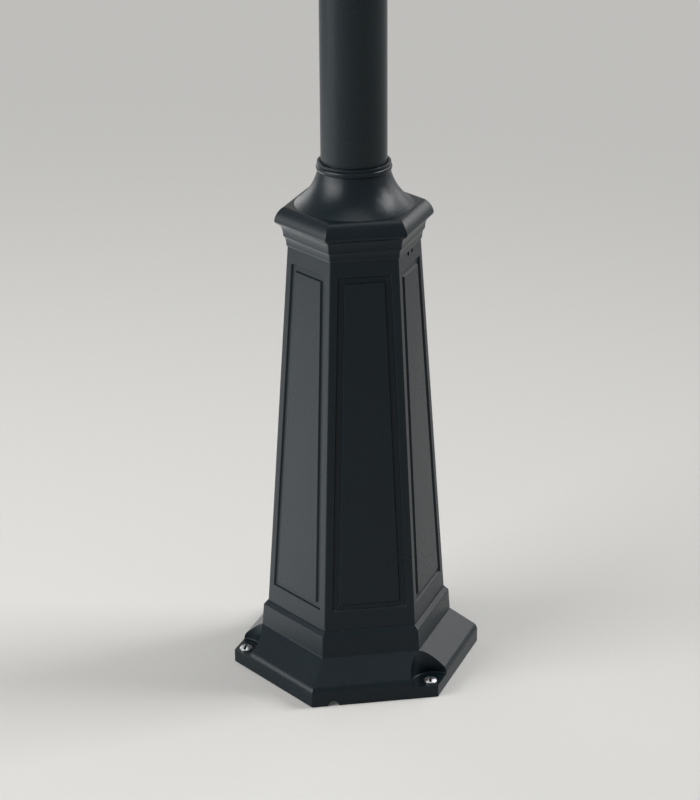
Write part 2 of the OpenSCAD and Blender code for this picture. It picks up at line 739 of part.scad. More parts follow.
// Bent strap that carries the lampholder above the tray
module lamp_bracket() color(steel_colour) difference() {
    translate([0, strap_w / 2, 0]) rotate([90, 0, 0]) linear_extrude(strap_w)
        difference() {
            polygon([[-bracket_w / 2, dish_z], [bracket_w / 2, dish_z],
                [bracket_w / 2, dish_z + strap_t], [bracket_w / 2 - strap_foot, dish_z + strap_t],
                [bracket_w / 2 - strap_foot, bracket_z], [strap_foot - bracket_w / 2, bracket_z],
                [strap_foot - bracket_w / 2, dish_z + strap_t],
                [-bracket_w / 2, dish_z + strap_t]]);
            translate([strap_foot + strap_t - bracket_w / 2, dish_z - over])
                square([bracket_w - 2 * (strap_foot + strap_t), bracket_h - strap_t + over]);
        }
    bar(nipple_r + thin_gap / 2, dish_z, bracket_z + over);
    for (s = [-1, 1]) translate([s * (bracket_w - strap_foot) / 2, 0, dish_z - over])
        cylinder(d = bracket_screw_d + thin_gap, h = strap_t + 2 * over, $fn = small_fn);
}

module bracket_screws() color(steel_colour) for (s = [-1, 1])
    translate([s * (bracket_w - strap_foot) / 2, 0, 0])
        pan_screw(bracket_screw_d, 0.9 * bracket_screw_d, 0.6 * bracket_screw_d,
            dish_z + strap_t, tray_z + thin_gap);

// Hollow threaded nipple between the bracket and the lampholder
module lamp_nipple() color(brass_colour) difference() {
    bar(nipple_r, bracket_z - nipple_down, bracket_z + nipple_up);
    bar(nipple_r - nipple_wall, dish_z, cap_z);
}

module nipple_nut() color(brass_colour) difference() {
    hex_prism(nipple_nut_w / 2 / apothem_share, bracket_z - strap_t - nipple_nut_h,
        bracket_z - strap_t);
    bar(nipple_r + thin_gap / 2, dish_z, bracket_z);
}

// Lampholder: a closed base, a socket for the screw cap and a collar at the rim
module lampholder() color(white_colour) difference() {
    union() {
        bar(holder_d / 2, holder_z, holder_z + holder_h, round_fn);
        bar(holder_d / 2 + holder_rim, holder_z + holder_h - holder_rim_h,
            holder_z + holder_h, round_fn);
    }
    bar(holder_bore_r, holder_z + holder_base, holder_z + holder_h + over, round_fn);
    bar(nipple_r + thin_gap / 2, holder_z - over, holder_z + holder_base + over);
}

module lamp_cap() color(steel_colour) bar(cap_r, cap_z, cap_top, round_fn);

// Glass globe of the lamp, which narrows to a neck on the screw cap
module lamp_globe() color(white_colour) turn(concat(
    [[0, cap_top], [globe_neck, cap_top]],
    flare([globe_neck, cap_top + bracket_screw_d],
        [globe_r * cos(globe_neck_angle), globe_mid - globe_r * sin(globe_neck_angle)],
        globe_steep_angle, 90 - globe_neck_angle),
    arc([0, globe_mid], globe_r, -globe_neck_angle, 90)));

// Three-way terminal block on the tray's floor
module terminal_block() color(white_colour) translate([0, block_y, dish_z]) difference() {
    translate([-block_size.x / 2, -block_size.y / 2, 0]) cube(block_size);
    for (s = [-1, 0, 1]) translate([s * block_pitch, 0, block_size.z / 2]) {
        rotate([90, 0, 0]) cylinder(r = block_hole_r, h = block_size.y + over, center = true,
            $fn = small_fn);
        for (t = [-1, 1]) translate([0, t * block_size.y / 4, 0])
            cylinder(r = block_hole_r, h = block_size.z, $fn = small_fn);
    }
}

module earth_screw() color(brass_colour) translate([earth_x, block_y, 0])
    pan_screw(earth_d, earth_d, 0.6 * earth_d, dish_z, tray_z + thin_gap);

// Cast roof: skirt, eaves moulding and hollow sweep up to a flat top with a bridge for the stud
module roof_shell() color(casting_colour) difference() {
    hex_turn(concat(
        [[0, roof_z - skirt_drop], [roof_r, roof_z - skirt_drop]],
        moulding(roof_r, eaves_z, eaves_share),
        flare([eaves_shelf_r, eaves_top], [roof_top_r, roof_top_z], roof_low_angle, roof_steep_angle),
        [[0, roof_top_z]]));
    hex_turn(concat(
        [[0, roof_z - skirt_drop - over], [roof_in_r, roof_z - skirt_drop - over],
         [roof_in_r, roof_z], [roof_seat_r, roof_z]],
        flare([roof_seat_r, eaves_top - roof_wall],
            [roof_top_r - roof_wall, roof_top_z - roof_wall], roof_low_angle, roof_steep_angle),
        [[0, roof_top_z - roof_wall]]));
    difference() {
        bar(vent_r, roof_z, roof_top_z + over, round_fn);
        translate([-roof_top_r, -bridge_w / 2, roof_top_z - bridge_t])
            cube([2 * roof_top_r, bridge_w, bridge_t + over]);
    }
    bar(stud_d / 2 + thin_gap, roof_z, roof_top_z + over);
    at_angles(roof_screw_angles) spoke(roof_screw_d / 2 + thin_gap / 2, roof_seat_r * apothem_share,
        roof_r, roof_screw_z);
}

// Screws through the roof's skirt on to the cage's band, their heads under the moulding
module roof_screws() color(dark_steel_colour) at_angles(roof_screw_angles) {
    spoke(roof_screw_d / 2, band_r * apothem_share + thin_gap,
        roof_r * apothem_share + thin_gap, roof_screw_z);
    spoke(roof_screw_head_r, roof_r * apothem_share + thin_gap,
        (roof_r + nose_out * eaves_share) * apothem_share, roof_screw_z);
}

// Round vent drum with a ring of upright slots
module vent_drum() color(casting_colour) difference() {
    union() {
        bar(drum_r, roof_top_z, drum_top, round_fn);
        bar(drum_r + drum_foot_out, roof_top_z, roof_top_z + drum_foot, round_fn);
    }
    bar(drum_r - drum_wall, roof_top_z - over, drum_top + over, round_fn);
    for (i = [0 : slots - 1]) rotate([0, 0, 360 / slots * (i + 0.5)])
        translate([0, -slot_w / 2, roof_top_z + (drum_h - slot_h) / 2])
            cube([drum_r + over, slot_w, slot_h]);
}

// Six-sided vent cap: a small roof in the same sweep, with a lip outside the drum
module vent_cap() color(casting_colour) difference() {
    hex_turn(concat(
        [[0, drum_top - cap_lap], [cap_r0, drum_top - cap_lap],
         [cap_r0, drum_top - cap_lap + cap_edge]],
        flare([cap_r0, drum_top - cap_lap + cap_edge], [cap_hub_r, vent_cap_top],
            roof_low_angle, roof_steep_angle),
        [[0, vent_cap_top]]));
    bar(drum_r + fit_gap, drum_top - cap_lap - over, drum_top, round_fn);
    bar(stud_d / 2 + thin_gap, drum_top - cap_lap, vent_cap_top + over);
}

// Turned finial: a flared foot, a neck, a ball and a drawn-out point
module finial() color(casting_colour) difference() {
    turn(concat(
        [[0, vent_cap_top], [cap_hub_r * apothem_share, vent_cap_top]],
        flare([cap_hub_r * apothem_share, vent_cap_top + finial_tip], [finial_neck, finial_neck_z],
            cove_shallow_angle, finial_neck_angle),
        arc([0, finial_neck_z + finial_r * cos(asin(finial_neck / finial_r))],
            finial_r, asin(finial_neck / finial_r) - 90, finial_ball_angle),
        flare([finial_neck, finial_neck_z + 2 * finial_r], [finial_tip, vent_cap_top + finial_h],
            finial_point_angles[0], finial_point_angles[1]),
        [[0, vent_cap_top + finial_h]]));
    bar(stud_d / 2 + thin_gap / 2, vent_cap_top - over, vent_cap_top + stud_up + over);
}

// Threaded stud from the roof's bridge up into the finial
module finial_stud() color(steel_colour)
    bar(stud_d / 2, stud_z - stud_nut_h - stud_end, vent_cap_top + stud_up);

module stud_nut() color(steel_colour) difference() {
    hex_prism(stud_nut_w / 2 / apothem_share, stud_z - stud_nut_h, stud_z);
    bar(stud_d / 2 + thin_gap / 2, stud_z - stud_nut_h - over, stud_z + over);
}

foot_casting();
body_casting();
crown_casting();
crown_set_screws();
ground_screws();
post_tube();
tube_anchor();
neck_seal();
tie_rod();
tie_rod_washer();
tie_rod_nut();
fitter_casting();
fitter_set_screws();
tray_casting();
tray_bolts();
cage_frame();
for (i = [1 : sides]) glass_pane(i - 1);
pane_clips();
lamp_bracket();
bracket_screws();
lamp_nipple();
nipple_nut();
lampholder();
lamp_cap();
lamp_globe();
terminal_block();
earth_screw();
roof_shell();
roof_screws();
vent_drum();
vent_cap();
finial();
finial_stud();
stud_nut();
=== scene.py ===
"""Looks of the lantern lamp post: cast six-sided pedestal, round tube and six-sided lantern."""

import math

import bmesh
import bpy
import numpy as np
from mathutils import Matrix, Vector


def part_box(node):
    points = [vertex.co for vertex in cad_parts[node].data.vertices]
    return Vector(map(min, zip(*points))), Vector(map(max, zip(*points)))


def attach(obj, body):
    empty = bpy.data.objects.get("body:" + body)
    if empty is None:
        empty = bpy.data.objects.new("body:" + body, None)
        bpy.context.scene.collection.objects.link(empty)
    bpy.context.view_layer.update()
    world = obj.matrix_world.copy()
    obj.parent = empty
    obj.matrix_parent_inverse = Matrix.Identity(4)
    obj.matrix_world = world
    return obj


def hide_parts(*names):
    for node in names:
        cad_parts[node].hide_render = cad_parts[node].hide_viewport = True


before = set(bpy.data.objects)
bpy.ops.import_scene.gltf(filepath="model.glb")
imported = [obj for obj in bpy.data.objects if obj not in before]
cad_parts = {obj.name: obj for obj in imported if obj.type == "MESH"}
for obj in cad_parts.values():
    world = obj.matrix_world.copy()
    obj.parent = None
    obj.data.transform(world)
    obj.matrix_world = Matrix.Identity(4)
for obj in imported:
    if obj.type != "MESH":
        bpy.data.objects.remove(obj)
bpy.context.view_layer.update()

# ---- Camera ----
# A long lens looks down at the pedestal's front face, a little from its left. Its place, tilt and
# lens were worked out from the pedestal's corners.
CAMERA_PLACE = (-0.3498, -2.1068, 1.1464)
CAMERA_TURN = math.radians(-9.43)
CAMERA_DOWN = math.radians(22.343)
CAMERA_ROLL = math.radians(-0.341)
LENS_MM = 112.1
LENS_SHIFT = (-0.0069, -0.0078)
FARTHEST_SEEN = 60.0


def add_object(name, data):
    """A new object in the scene."""
    obj = bpy.data.objects.new(name, data)
    bpy.context.scene.collection.objects.link(obj)
    return obj


camera = add_object("camera", bpy.data.cameras.new("camera"))
camera.data.lens = LENS_MM
camera.data.shift_x, camera.data.shift_y = LENS_SHIFT
camera.data.clip_end = FARTHEST_SEEN
camera.matrix_world = (
    Matrix.Translation(CAMERA_PLACE)
    @ Matrix.Rotation(CAMERA_TURN, 4, "Z")
    @ Matrix.Rotation(math.pi / 2 - CAMERA_DOWN, 4, "X")
    @ Matrix.Rotation(CAMERA_ROLL, 4, "Z")
)
bpy.context.scene.camera = camera

# ---- Foot casting ----
# The six-sided foot is cast aluminium under a satin black powder coat. It is one casting: a rounded
# rim, a sloping skirt, a plinth with a bevel, three round pockets for the ground screws, and ribs
# below.
SIDES = 6
APOTHEM_SHARE = math.cos(math.pi / SIDES)
EDGE_ROUND = 0.0016
FOOT_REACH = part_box("foot_casting")[1].x
RIM_HEIGHT = 0.0166
RIM_ROUND = 0.009
SKIRT_TOP = (0.0915, 0.0382)
PLINTH_TOP = (0.0900, 0.0585)
FOOT_TOP = (0.0859, 0.0625)
FOOT_RING = (0.0791, 0.0725)
FOOT_WALL = 0.007
RIM_INSIDE = 0.107
POCKET_CORNERS = (60, 180, 300)
POCKET_CENTRE = 0.115
POCKET_RADIUS = 0.023
POCKET_FLOOR = 0.012
POCKET_FILLET = 0.001
SOLE_ROUND, STEP_ROUND, TOP_ROUND = 0.0006, 0.0012, 0.0008
COLUMN_RADIUS = 0.029
SCREW_CIRCLE = 0.1078
SCREW_HOLE_RADIUS = 0.0035
ROD_HOLE_RADIUS = 0.0055
HUB_RADIUS = 0.015
HUB_HEIGHTS = (0.029, 0.0522)
RIB_HEIGHTS = (0.0302, 0.0462)
RIB_HALF = 0.004
RIB_REACH = 0.087
RIB_ANGLES = (0, 120, 240)
NOTCH_PLACE = -0.0393
NOTCH_RADIUS = 0.0051
PAST = 0.002
LEAST_ANGLE, LEAST_EDGE, MERGE_GAP = 1e-4, 1e-7, 2e-6
COAT_GRAIN = 0.32
CASTING_COLOUR = (0.004, 0.0092, 0.0132)


def rounded(corners, radii, steps=6):
    """A profile with its corners rounded. At each corner, an arc of that corner's radius touches
    both neighbouring edges at radius / tan(half angle) from the corner, about a centre on the
    bisector at radius / sin(half angle). A radius of nought leaves the corner sharp."""
    c = np.array(corners, float)
    r = np.array(radii, float)[:, None]
    before, after = np.roll(c, 1, 0) - c, np.roll(c, -1, 0) - c
    before /= np.linalg.norm(before, axis=1, keepdims=True)
    after /= np.linalg.norm(after, axis=1, keepdims=True)
    half = np.arccos(np.clip((before * after).sum(1, keepdims=True), -1, 1)) / 2
    half = np.clip(half, LEAST_ANGLE, math.pi / 2 - LEAST_ANGLE)
    bisector = before + after
    bisector /= np.maximum(np.linalg.norm(bisector, axis=1, keepdims=True), 1e-9)
    centre = c + bisector * r / np.sin(half)
    start, end = c + before * r / np.tan(half) - centre, c + after * r / np.tan(half) - centre
    sweep = math.pi - 2 * half
    t = np.linspace(0, 1, steps + 1)[None, :]
    weight_start = (np.sin((1 - t) * sweep) / np.sin(sweep))[:, :, None]
    weight_end = (np.sin(t * sweep) / np.sin(sweep))[:, :, None]
    points = centre[:, None] + weight_start * start[:, None] + weight_end * end[:, None]
    points = points.reshape(-1, 2)
    apart = np.linalg.norm(points - np.roll(points, 1, 0), axis=1) > LEAST_EDGE
    return points[apart]


def mitred(profile, corner_round=EDGE_ROUND, arc_steps=6):
    """A profile of (radius over corners, height) carried round a six-sided path. At radius R the
    path is the hexagon of apothem R cos 30, its corners rounded: each corner's arc has its
    centre on the corner's ray, at (R cos 30 - round) / cos 30, and sweeps 60 degrees. Returns
    rows by columns of points."""
    corner = np.repeat(np.arange(SIDES) * 2 * math.pi / SIDES, arc_steps + 1)
    angle = corner + np.tile(np.linspace(-math.pi / SIDES, math.pi / SIDES, arc_steps + 1), SIDES)
    soft = np.minimum(corner_round, profile[:, 0] * APOTHEM_SHARE)[:, None]
    reach = (profile[:, :1] * APOTHEM_SHARE - soft) / APOTHEM_SHARE
    x = reach * np.cos(corner) + soft * np.cos(angle)
    y = reach * np.sin(corner) + soft * np.sin(angle)
    return np.stack([x, y, np.broadcast_to(profile[:, 1:], x.shape)], -1)


def turned(profile, segments=96, centre=(0.0, 0.0)):
    """A profile of (radius, height) turned about an upright axis through centre: x = r cos a, y = r
    sin a. The facets start half a facet round, so that none of their edges lies on a corner's
    ray."""
    a = (np.arange(segments) + 0.5) * 2 * math.pi / segments
    x = centre[0] + profile[:, :1] * np.cos(a)
    y = centre[1] + profile[:, :1] * np.sin(a)
    return np.stack([x, y, np.broadcast_to(profile[:, 1:], x.shape)], -1)


def grid_mesh(grids, closed=True):
    """One mesh from grids of points, each closed along its columns, and also along its rows where
    its profile comes back to its start. Face (i, j) joins points (i, j), (i, j + 1), (i + 1, j +
    1) and (i + 1, j)."""
    points, faces, first = [], [], 0
    for grid in grids:
        rows, cols = grid.shape[:2]
        i = np.arange(rows if closed else rows - 1)[:, None]
        j = np.arange(cols)[None, :]
        after_i, after_j = (i + 1) % rows, (j + 1) % cols
        row, next_row = i * cols, after_i * cols
        quads = np.stack([row + j, row + after_j, next_row + after_j, next_row + j], -1)
        points.append(grid.reshape(-1, 3))
        faces.append(quads.reshape(-1, 4) + first)
        first += rows * cols
    mesh = bpy.data.meshes.new("surface")
    mesh.from_pydata(np.concatenate(points).tolist(), [], np.concatenate(faces).tolist())
    work = bmesh.new()
    work.from_mesh(mesh)
    bmesh.ops.remove_doubles(work, verts=work.verts, dist=MERGE_GAP)
    bmesh.ops.dissolve_degenerate(work, edges=work.edges, dist=LEAST_EDGE)
    bmesh.ops.delete(work, geom=[e for e in work.edges if not e.link_faces], context="EDGES")
    bmesh.ops.recalc_face_normals(work, faces=work.faces)
    work.to_mesh(mesh)
    work.free()
    return mesh


def carved(mesh, steps):
    """The mesh after each (operation, tool mesh) in turn: the tool is cut away from it or joined on
    to it."""
    for operation, tool in steps:
        solid, cutter = add_object("solid", mesh), add_object("cutter", tool)
        cut = solid.modifiers.new("cut", "BOOLEAN")
        cut.operation, cut.object, cut.solver = operation, cutter, "EXACT"
        result = solid.evaluated_get(bpy.context.evaluated_depsgraph_get())
        mesh = bpy.data.meshes.new_from_object(result)
        bpy.data.objects.remove(solid)
        bpy.data.objects.remove(cutter)
    return mesh


def add_piece(name, mesh, finish, body, stands_for=(), sharp_above=32):
    """A finished piece: smooth over its curves, crisp at edges above an angle, with flat faces kept
    flat. It rides on a CAD body and stands for the CAD nodes that it replaces."""
    obj = add_object(name, mesh)
    mesh.name = name
    mesh.materials.clear()
    mesh.materials.append(finish)
    mesh.shade_smooth()
    mesh.set_sharp_from_angle(angle=math.radians(sharp_above))
    flat = obj.modifiers.new("flat_faces_flat", "WEIGHTED_NORMAL")
    flat.keep_sharp = True
    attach(obj, body)
    if stands_for:
        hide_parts(*stands_for)


def box_points(low, high):
    """A box between two corners, as a four-sided tube of its upright edges closed to a point at
    both ends."""
    (x0, y0, z0), (x1, y1, z1) = low, high
    ring = np.array([[x0, y0], [x1, y0], [x1, y1], [x0, y1]])
    middle = np.broadcast_to(ring.mean(0), ring.shape)
    rows = [(middle, z0), (ring, z0), (ring, z1), (middle, z1)]
    return np.array([np.column_stack([xy, np.full(4, z)]) for xy, z in rows])


def spun(grid, degrees):
    """The grid turned about the upright axis by an angle: (x, y) becomes (x cos a - y sin a, x sin
    a + y cos a)."""
    a = math.radians(degrees)
    turn = np.array([[math.cos(a), math.sin(a), 0], [-math.sin(a), math.cos(a), 0], [0, 0, 1]])
    return grid @ turn


def set_inputs(node, **values):
    """Sets inputs of a shader node and returns it; an underscore in a name stands for a space."""
    for name, value in values.items():
        node.inputs[name.replace("_", " ")].default_value = value
    return node


def mottled(name, colour, tints, glosses, scale, detail, strength, distance):
    """A new material whose colour and roughness follow one noise, each between two ends. Returns it
    with its coordinates, its noise and its bump, whose height is still to be joined."""
    finish = bpy.data.materials.new(name)
    finish.use_nodes = True
    nodes, links = finish.node_tree.nodes, finish.node_tree.links
    shader = nodes["Principled BSDF"]
    place = nodes.new("ShaderNodeTexCoord").outputs["Object"]
    noise = set_inputs(nodes.new("ShaderNodeTexNoise"), Scale=scale, Detail=detail)
    tint = nodes.new("ShaderNodeValToRGB")
    for end, factor in zip(tint.color_ramp.elements, tints):
        end.color = (*(min(c * factor, 1.0) for c in colour), 1)
    gloss = set_inputs(nodes.new("ShaderNodeMapRange"), To_Min=glosses[0], To_Max=glosses[1])
    bump = set_inputs(nodes.new("ShaderNodeBump"), Strength=strength, Distance=distance)
    links.new(place, noise.inputs["Vector"])
    links.new(noise.outputs["Fac"], tint.inputs["Fac"])
    links.new(noise.outputs["Fac"], gloss.inputs["Value"])
    links.new(tint.outputs["Color"], shader.inputs["Base Color"])
    links.new(gloss.outputs["Result"], shader.inputs["Roughness"])
    links.new(bump.outputs["Normal"], shader.inputs["Normal"])
    return finish, place, noise, bump


def powder_coat(name, colour):
    """Satin black powder coat: dark, a little uneven in gloss, with a grain finer than a millimetre
    that a second, wider ripple breaks up, as where the powder flowed before it set."""
    finish, place, _, bump = mottled(name, colour, tints=(0.82, 1.2), glosses=(0.24, 0.32),
                                     scale=14.0, detail=5.0, strength=COAT_GRAIN, distance=0.0004)
    nodes, links = finish.node_tree.nodes, finish.node_tree.links
    set_inputs(nodes["Principled BSDF"], IOR=1.5, Specular_IOR_Level=0.2)
    powder = set_inputs(nodes.new("ShaderNodeTexNoise"), Scale=1400.0, Detail=3.0)
    ripple = set_inputs(nodes.new("ShaderNodeTexNoise"), Scale=260.0)
    both = nodes.new("ShaderNodeMath")
    both.operation = "ADD"
    for grain, height in zip((powder, ripple), both.inputs):
        links.new(place, grain.inputs["Vector"])
        links.new(grain.outputs["Fac"], height)
    links.new(both.outputs["Value"], bump.inputs["Height"])
    return finish


casting_black = powder_coat("casting_black", CASTING_COLOUR)

rim_slope = math.atan2(SKIRT_TOP[1] - RIM_HEIGHT, FOOT_REACH - SKIRT_TOP[0])
foot_outline = rounded(
    [(0, 0), (FOOT_REACH, 0), (FOOT_REACH, RIM_HEIGHT), SKIRT_TOP, PLINTH_TOP, FOOT_TOP,
     (FOOT_RING[0], FOOT_TOP[1]), FOOT_RING, (0, FOOT_RING[1])],
    [0, SOLE_ROUND, RIM_ROUND, STEP_ROUND, STEP_ROUND, TOP_ROUND, 0, 0, 0], steps=8)
drop = FOOT_WALL / math.cos(rim_slope)
foot_hollow = np.array(
    [(0, -PAST), (RIM_INSIDE, -PAST), (RIM_INSIDE, RIM_HEIGHT - drop),
     (SKIRT_TOP[0] - FOOT_WALL, SKIRT_TOP[1] + FOOT_WALL * math.tan(rim_slope) - drop),
     (PLINTH_TOP[0] - FOOT_WALL, PLINTH_TOP[1] - FOOT_WALL),
     (FOOT_RING[0] - FOOT_WALL, FOOT_TOP[1]),
     (FOOT_RING[0] - FOOT_WALL, FOOT_RING[1] + PAST), (0, FOOT_RING[1] + PAST)])
pocket_profile = rounded(
    [(0, POCKET_FLOOR), (POCKET_RADIUS, POCKET_FLOOR),
     (POCKET_RADIUS, FOOT_RING[1]), (0, FOOT_RING[1])],
    [0, POCKET_FILLET, 0, 0], steps=8)


def bar_profile(radius, low, high):
    """The profile of a plain round bar between two heights."""
    return np.array([(0, low), (radius, low), (radius, high), (0, high)])


def on_corner(distance, degrees):
    """The point at a distance from the axis along a corner's ray."""
    return distance * math.cos(math.radians(degrees)), distance * math.sin(math.radians(degrees))


columns = [turned(bar_profile(COLUMN_RADIUS, -2 * PAST, FOOT_RING[1] + 2 * PAST), 72,
                  on_corner(POCKET_CENTRE, a)) for a in POCKET_CORNERS]
pockets = [turned(pocket_profile, 96, on_corner(POCKET_CENTRE, a)) for a in POCKET_CORNERS]
holes = [turned(bar_profile(SCREW_HOLE_RADIUS, -PAST, POCKET_FLOOR + PAST), 32,
                on_corner(SCREW_CIRCLE, a)) for a in POCKET_CORNERS]
rod_hole = turned(bar_profile(ROD_HOLE_RADIUS, -PAST, FOOT_RING[1]), 32)
notch_bar = turned(bar_profile(NOTCH_RADIUS, 0, FOOT_REACH), 32)
notch = np.stack([notch_bar[..., 0] + NOTCH_PLACE, -notch_bar[..., 2], notch_bar[..., 1]], -1)
hub = turned(bar_profile(HUB_RADIUS, *HUB_HEIGHTS), 48)
rib = box_points((HUB_RADIUS / 2, -RIB_HALF, RIB_HEIGHTS[0]), (RIB_REACH, RIB_HALF, RIB_HEIGHTS[1]))

foot_mesh = carved(grid_mesh([mitred(foot_outline)]), [
    ("DIFFERENCE", carved(grid_mesh([mitred(foot_hollow)]), [("DIFFERENCE", grid_mesh(columns))])),
    ("UNION", grid_mesh([hub])),
    ("UNION", grid_mesh([spun(rib, a) for a in RIB_ANGLES])),
    ("DIFFERENCE", grid_mesh(pockets)),
    ("DIFFERENCE", grid_mesh([*holes, rod_hole, notch])),
])
add_piece("foot", foot_mesh, casting_black, "post", ["foot_casting"])

# ---- Body casting ----
# The body is a tapered six-sided tube, cast in one with a grooved panel on each face. The groove is
# shallow and its walls slope, as in a casting that has to leave its mould; the field is level with
# the bars round it.
BODY_LOW, BODY_HIGH = (corner.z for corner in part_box("body_casting"))
BODY_REACH = (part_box("body_casting")[1].x, 0.0613)
BODY_WALL = 0.0058
PANEL_SIDE, PANEL_LOW, PANEL_HIGH = 0.0068, 0.0186, 0.0144
GROOVE_WIDTH, GROOVE_DEPTH, GROOVE_LIP = 0.0070, 0.0018, 0.0015
SET_SCREW_FACES = (-30, 150)
SET_SCREW_HALF_PITCH = 0.005
SET_SCREW_DROP = 0.0034
SET_HOLE_RADIUS, SET_HOLE_REACH = 0.0021, (0.040, 0.075)


def panelled_tube(low, high, reach, wall, sill, corner_round=EDGE_ROUND, arc_steps=6):
    """A tapered six-sided tube with a groove round a field on each face. With h the face's half
    width at a height, a point at inset a from the nearer side edge lies at h - a along the face.
    Its depth under the face is d * s(min(t, w - t) / lip), where t is the least of its distances
    inside the groove's outer rectangle, w the groove's width and s(x) = 3 x x - 2 x x x, held
    between 0 and 1. Returns a closed grid, outside up and inside down."""
    side, bottom, top = sill
    lip = np.linspace(0, GROOVE_LIP, 6)
    groove = np.concatenate([lip, GROOVE_WIDTH - lip[::-1]])
    from_low = np.concatenate([[0], bottom + groove])
    from_high = np.concatenate([[0], top + groove])
    slant_height = high - low
    z = np.concatenate([low + from_low, (high - from_high)[::-1]])[:, None]
    in_side = np.concatenate([[corner_round * math.tan(math.pi / SIDES)], side + groove])
    radius = reach[0] + (reach[1] - reach[0]) * (z - low) / slant_height
    half, apothem = radius / 2, radius * APOTHEM_SHARE
    along = np.concatenate([-half + in_side[None, :], (half - in_side[None, ::-1])], 1)
    inset = np.concatenate([in_side, in_side[::-1]])[None, :]
    t = np.minimum(np.minimum(inset - side, (z - low) - bottom), (high - z) - top)
    x = np.clip(np.minimum(t, GROOVE_WIDTH - t) / GROOVE_LIP, 0, 1)
    out = apothem - GROOVE_DEPTH * (3 * x**2 - 2 * x**3)
    k = np.arange(SIDES)
    normal = (2 * k + 1) * math.pi / SIDES
    face_x = out[:, None, :] * np.cos(normal)[:, None] - along[:, None, :] * np.sin(normal)[:, None]
    face_y = out[:, None, :] * np.sin(normal)[:, None] + along[:, None, :] * np.cos(normal)[:, None]
    sweep = np.linspace(-math.pi / SIDES, math.pi / SIDES, arc_steps + 1)[1:-1]
    ray = 2 * k * math.pi / SIDES
    centre = ((apothem - corner_round) / APOTHEM_SHARE)[:, None, :]
    arc_x = centre * np.cos(ray)[:, None] + corner_round * np.cos(ray[:, None] + sweep)
    arc_y = centre * np.sin(ray)[:, None] + corner_round * np.sin(ray[:, None] + sweep)
    rows = len(z)
    xy = np.stack([np.concatenate([arc_x, face_x], 2), np.concatenate([arc_y, face_y], 2)], -1)
    xy = xy.reshape(rows, -1, 2)
    outside = np.concatenate([xy, np.broadcast_to(z[:, :, None], (rows, xy.shape[1], 1))], 2)
    ends = outside[[-1, 0]]
    shrink = 1 - wall / np.array([reach[1], reach[0]])
    inside = np.concatenate([ends[..., :2] * shrink[:, None, None], ends[..., 2:]], 2)
    return np.concatenate([outside, inside], 0)


def radial_bar(radius, start, end, height, degrees, sideways=0.0, segments=24):
    """A round bar that points outwards at an angle, from one distance from the axis to another: its
    own upright axis is laid along X, moved sideways along Y, and turned."""
    bar = turned(bar_profile(radius, start, end), segments)
    laid = np.stack([bar[..., 2], bar[..., 1] + sideways, height - bar[..., 0]], -1)
    return spun(laid, degrees)


body_grid = panelled_tube(
    BODY_LOW, BODY_HIGH, BODY_REACH, BODY_WALL, (PANEL_SIDE, PANEL_LOW, PANEL_HIGH))
set_holes = [radial_bar(SET_HOLE_RADIUS, *SET_HOLE_REACH, BODY_HIGH - SET_SCREW_DROP, a, s)
             for a in SET_SCREW_FACES for s in (-SET_SCREW_HALF_PITCH, SET_SCREW_HALF_PITCH)]
add_piece("body", carved(grid_mesh([body_grid]), [("DIFFERENCE", grid_mesh(set_holes))]),
          casting_black, "post", ["body_casting"])

# ---- Crown casting ----
# The crown is one casting that sits on the body: a mitred moulding of two hollows, a bead and a
# round nose, and on its shelf a round bell that draws in to a beaded neck. Its spigot in the body
# carries the tube.
CROWN_LOW, CROWN_HIGH = (corner.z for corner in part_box("crown_casting"))
CROWN_FOOT = (0.0617, BODY_HIGH)
TOE_OUT, TOE_HEIGHT = 0.0009, 0.0026
LOW_COVE_OUT, LOW_COVE_HEIGHT = 0.0026, 0.0072
COVE_STEP = 0.0006
COVE_OUT, COVE_HEIGHT = 0.0040, 0.0102
HOLLOWS_OUT = TOE_OUT + LOW_COVE_OUT + COVE_OUT
HOLLOWS_HEIGHT = TOE_HEIGHT + LOW_COVE_HEIGHT + COVE_STEP + COVE_HEIGHT
HOLLOW_SLOPES = (math.radians(86), math.radians(14))
TOE_SWEEP, BEAD_SWEEP = (-90, -8), (-60, -6)
NOSE_OUT, BEAD_ROUND, BEAD_STEP = 0.0114, 0.0024, 0.0014
NOSE_RUN, NOSE_RISE, NOSE_POWER = 0.010, 0.013, 1.25
BELL_HEIGHT, SHELF_EDGE = 0.032, 0.0006
BELL_SHALLOW, BELL_STEEP = math.radians(35), math.radians(78)
BORE_RADIUS, NECK_WALL = 0.0304, 0.0024
NECK_BEAD_OUT, NECK_BEAD_HEIGHT, LIP_ROUND = 0.0015, 0.0052, 0.0005
SPIGOT_REACH, SPIGOT_INSIDE, CAVITY_REACH = 0.0551, 0.0488, 0.0576
CROWN_WALL = 0.0055
SLEEVE_RADIUS = 0.0359
LEDGE_RADIUS, LEDGE_HEIGHT = 0.0235, 0.004
SEAL_SEAT_RADIUS, SEAL_SEAT_DEPTH = 0.0310, 0.005
CURVE_STEPS = 28


def flare(start, end, slope_start, slope_end, steps=CURVE_STEPS):
    """A curve whose slope t turns evenly from one angle to another: its radius goes with sin t and
    its height with cos t, each scaled to run from the start point to the end point."""
    t = np.linspace(slope_start, slope_end, steps + 1)
    across = (np.sin(t) - math.sin(slope_start)) / (math.sin(slope_end) - math.sin(slope_start))
    up = (math.cos(slope_start) - np.cos(t)) / (math.cos(slope_start) - math.cos(slope_end))
    radius = start[0] + (end[0] - start[0]) * across
    return np.column_stack([radius, start[1] + (end[1] - start[1]) * up])


def arc(centre, radius, start, end, steps=CURVE_STEPS // 2, squash=1.0):
    """An arc between two angles in degrees: centre + radius (cos t, squash sin t)."""
    t = np.radians(np.linspace(start, end, steps + 1))
    across, up = radius * np.cos(t), squash * radius * np.sin(t)
    return np.column_stack([centre[0] + across, centre[1] + up])


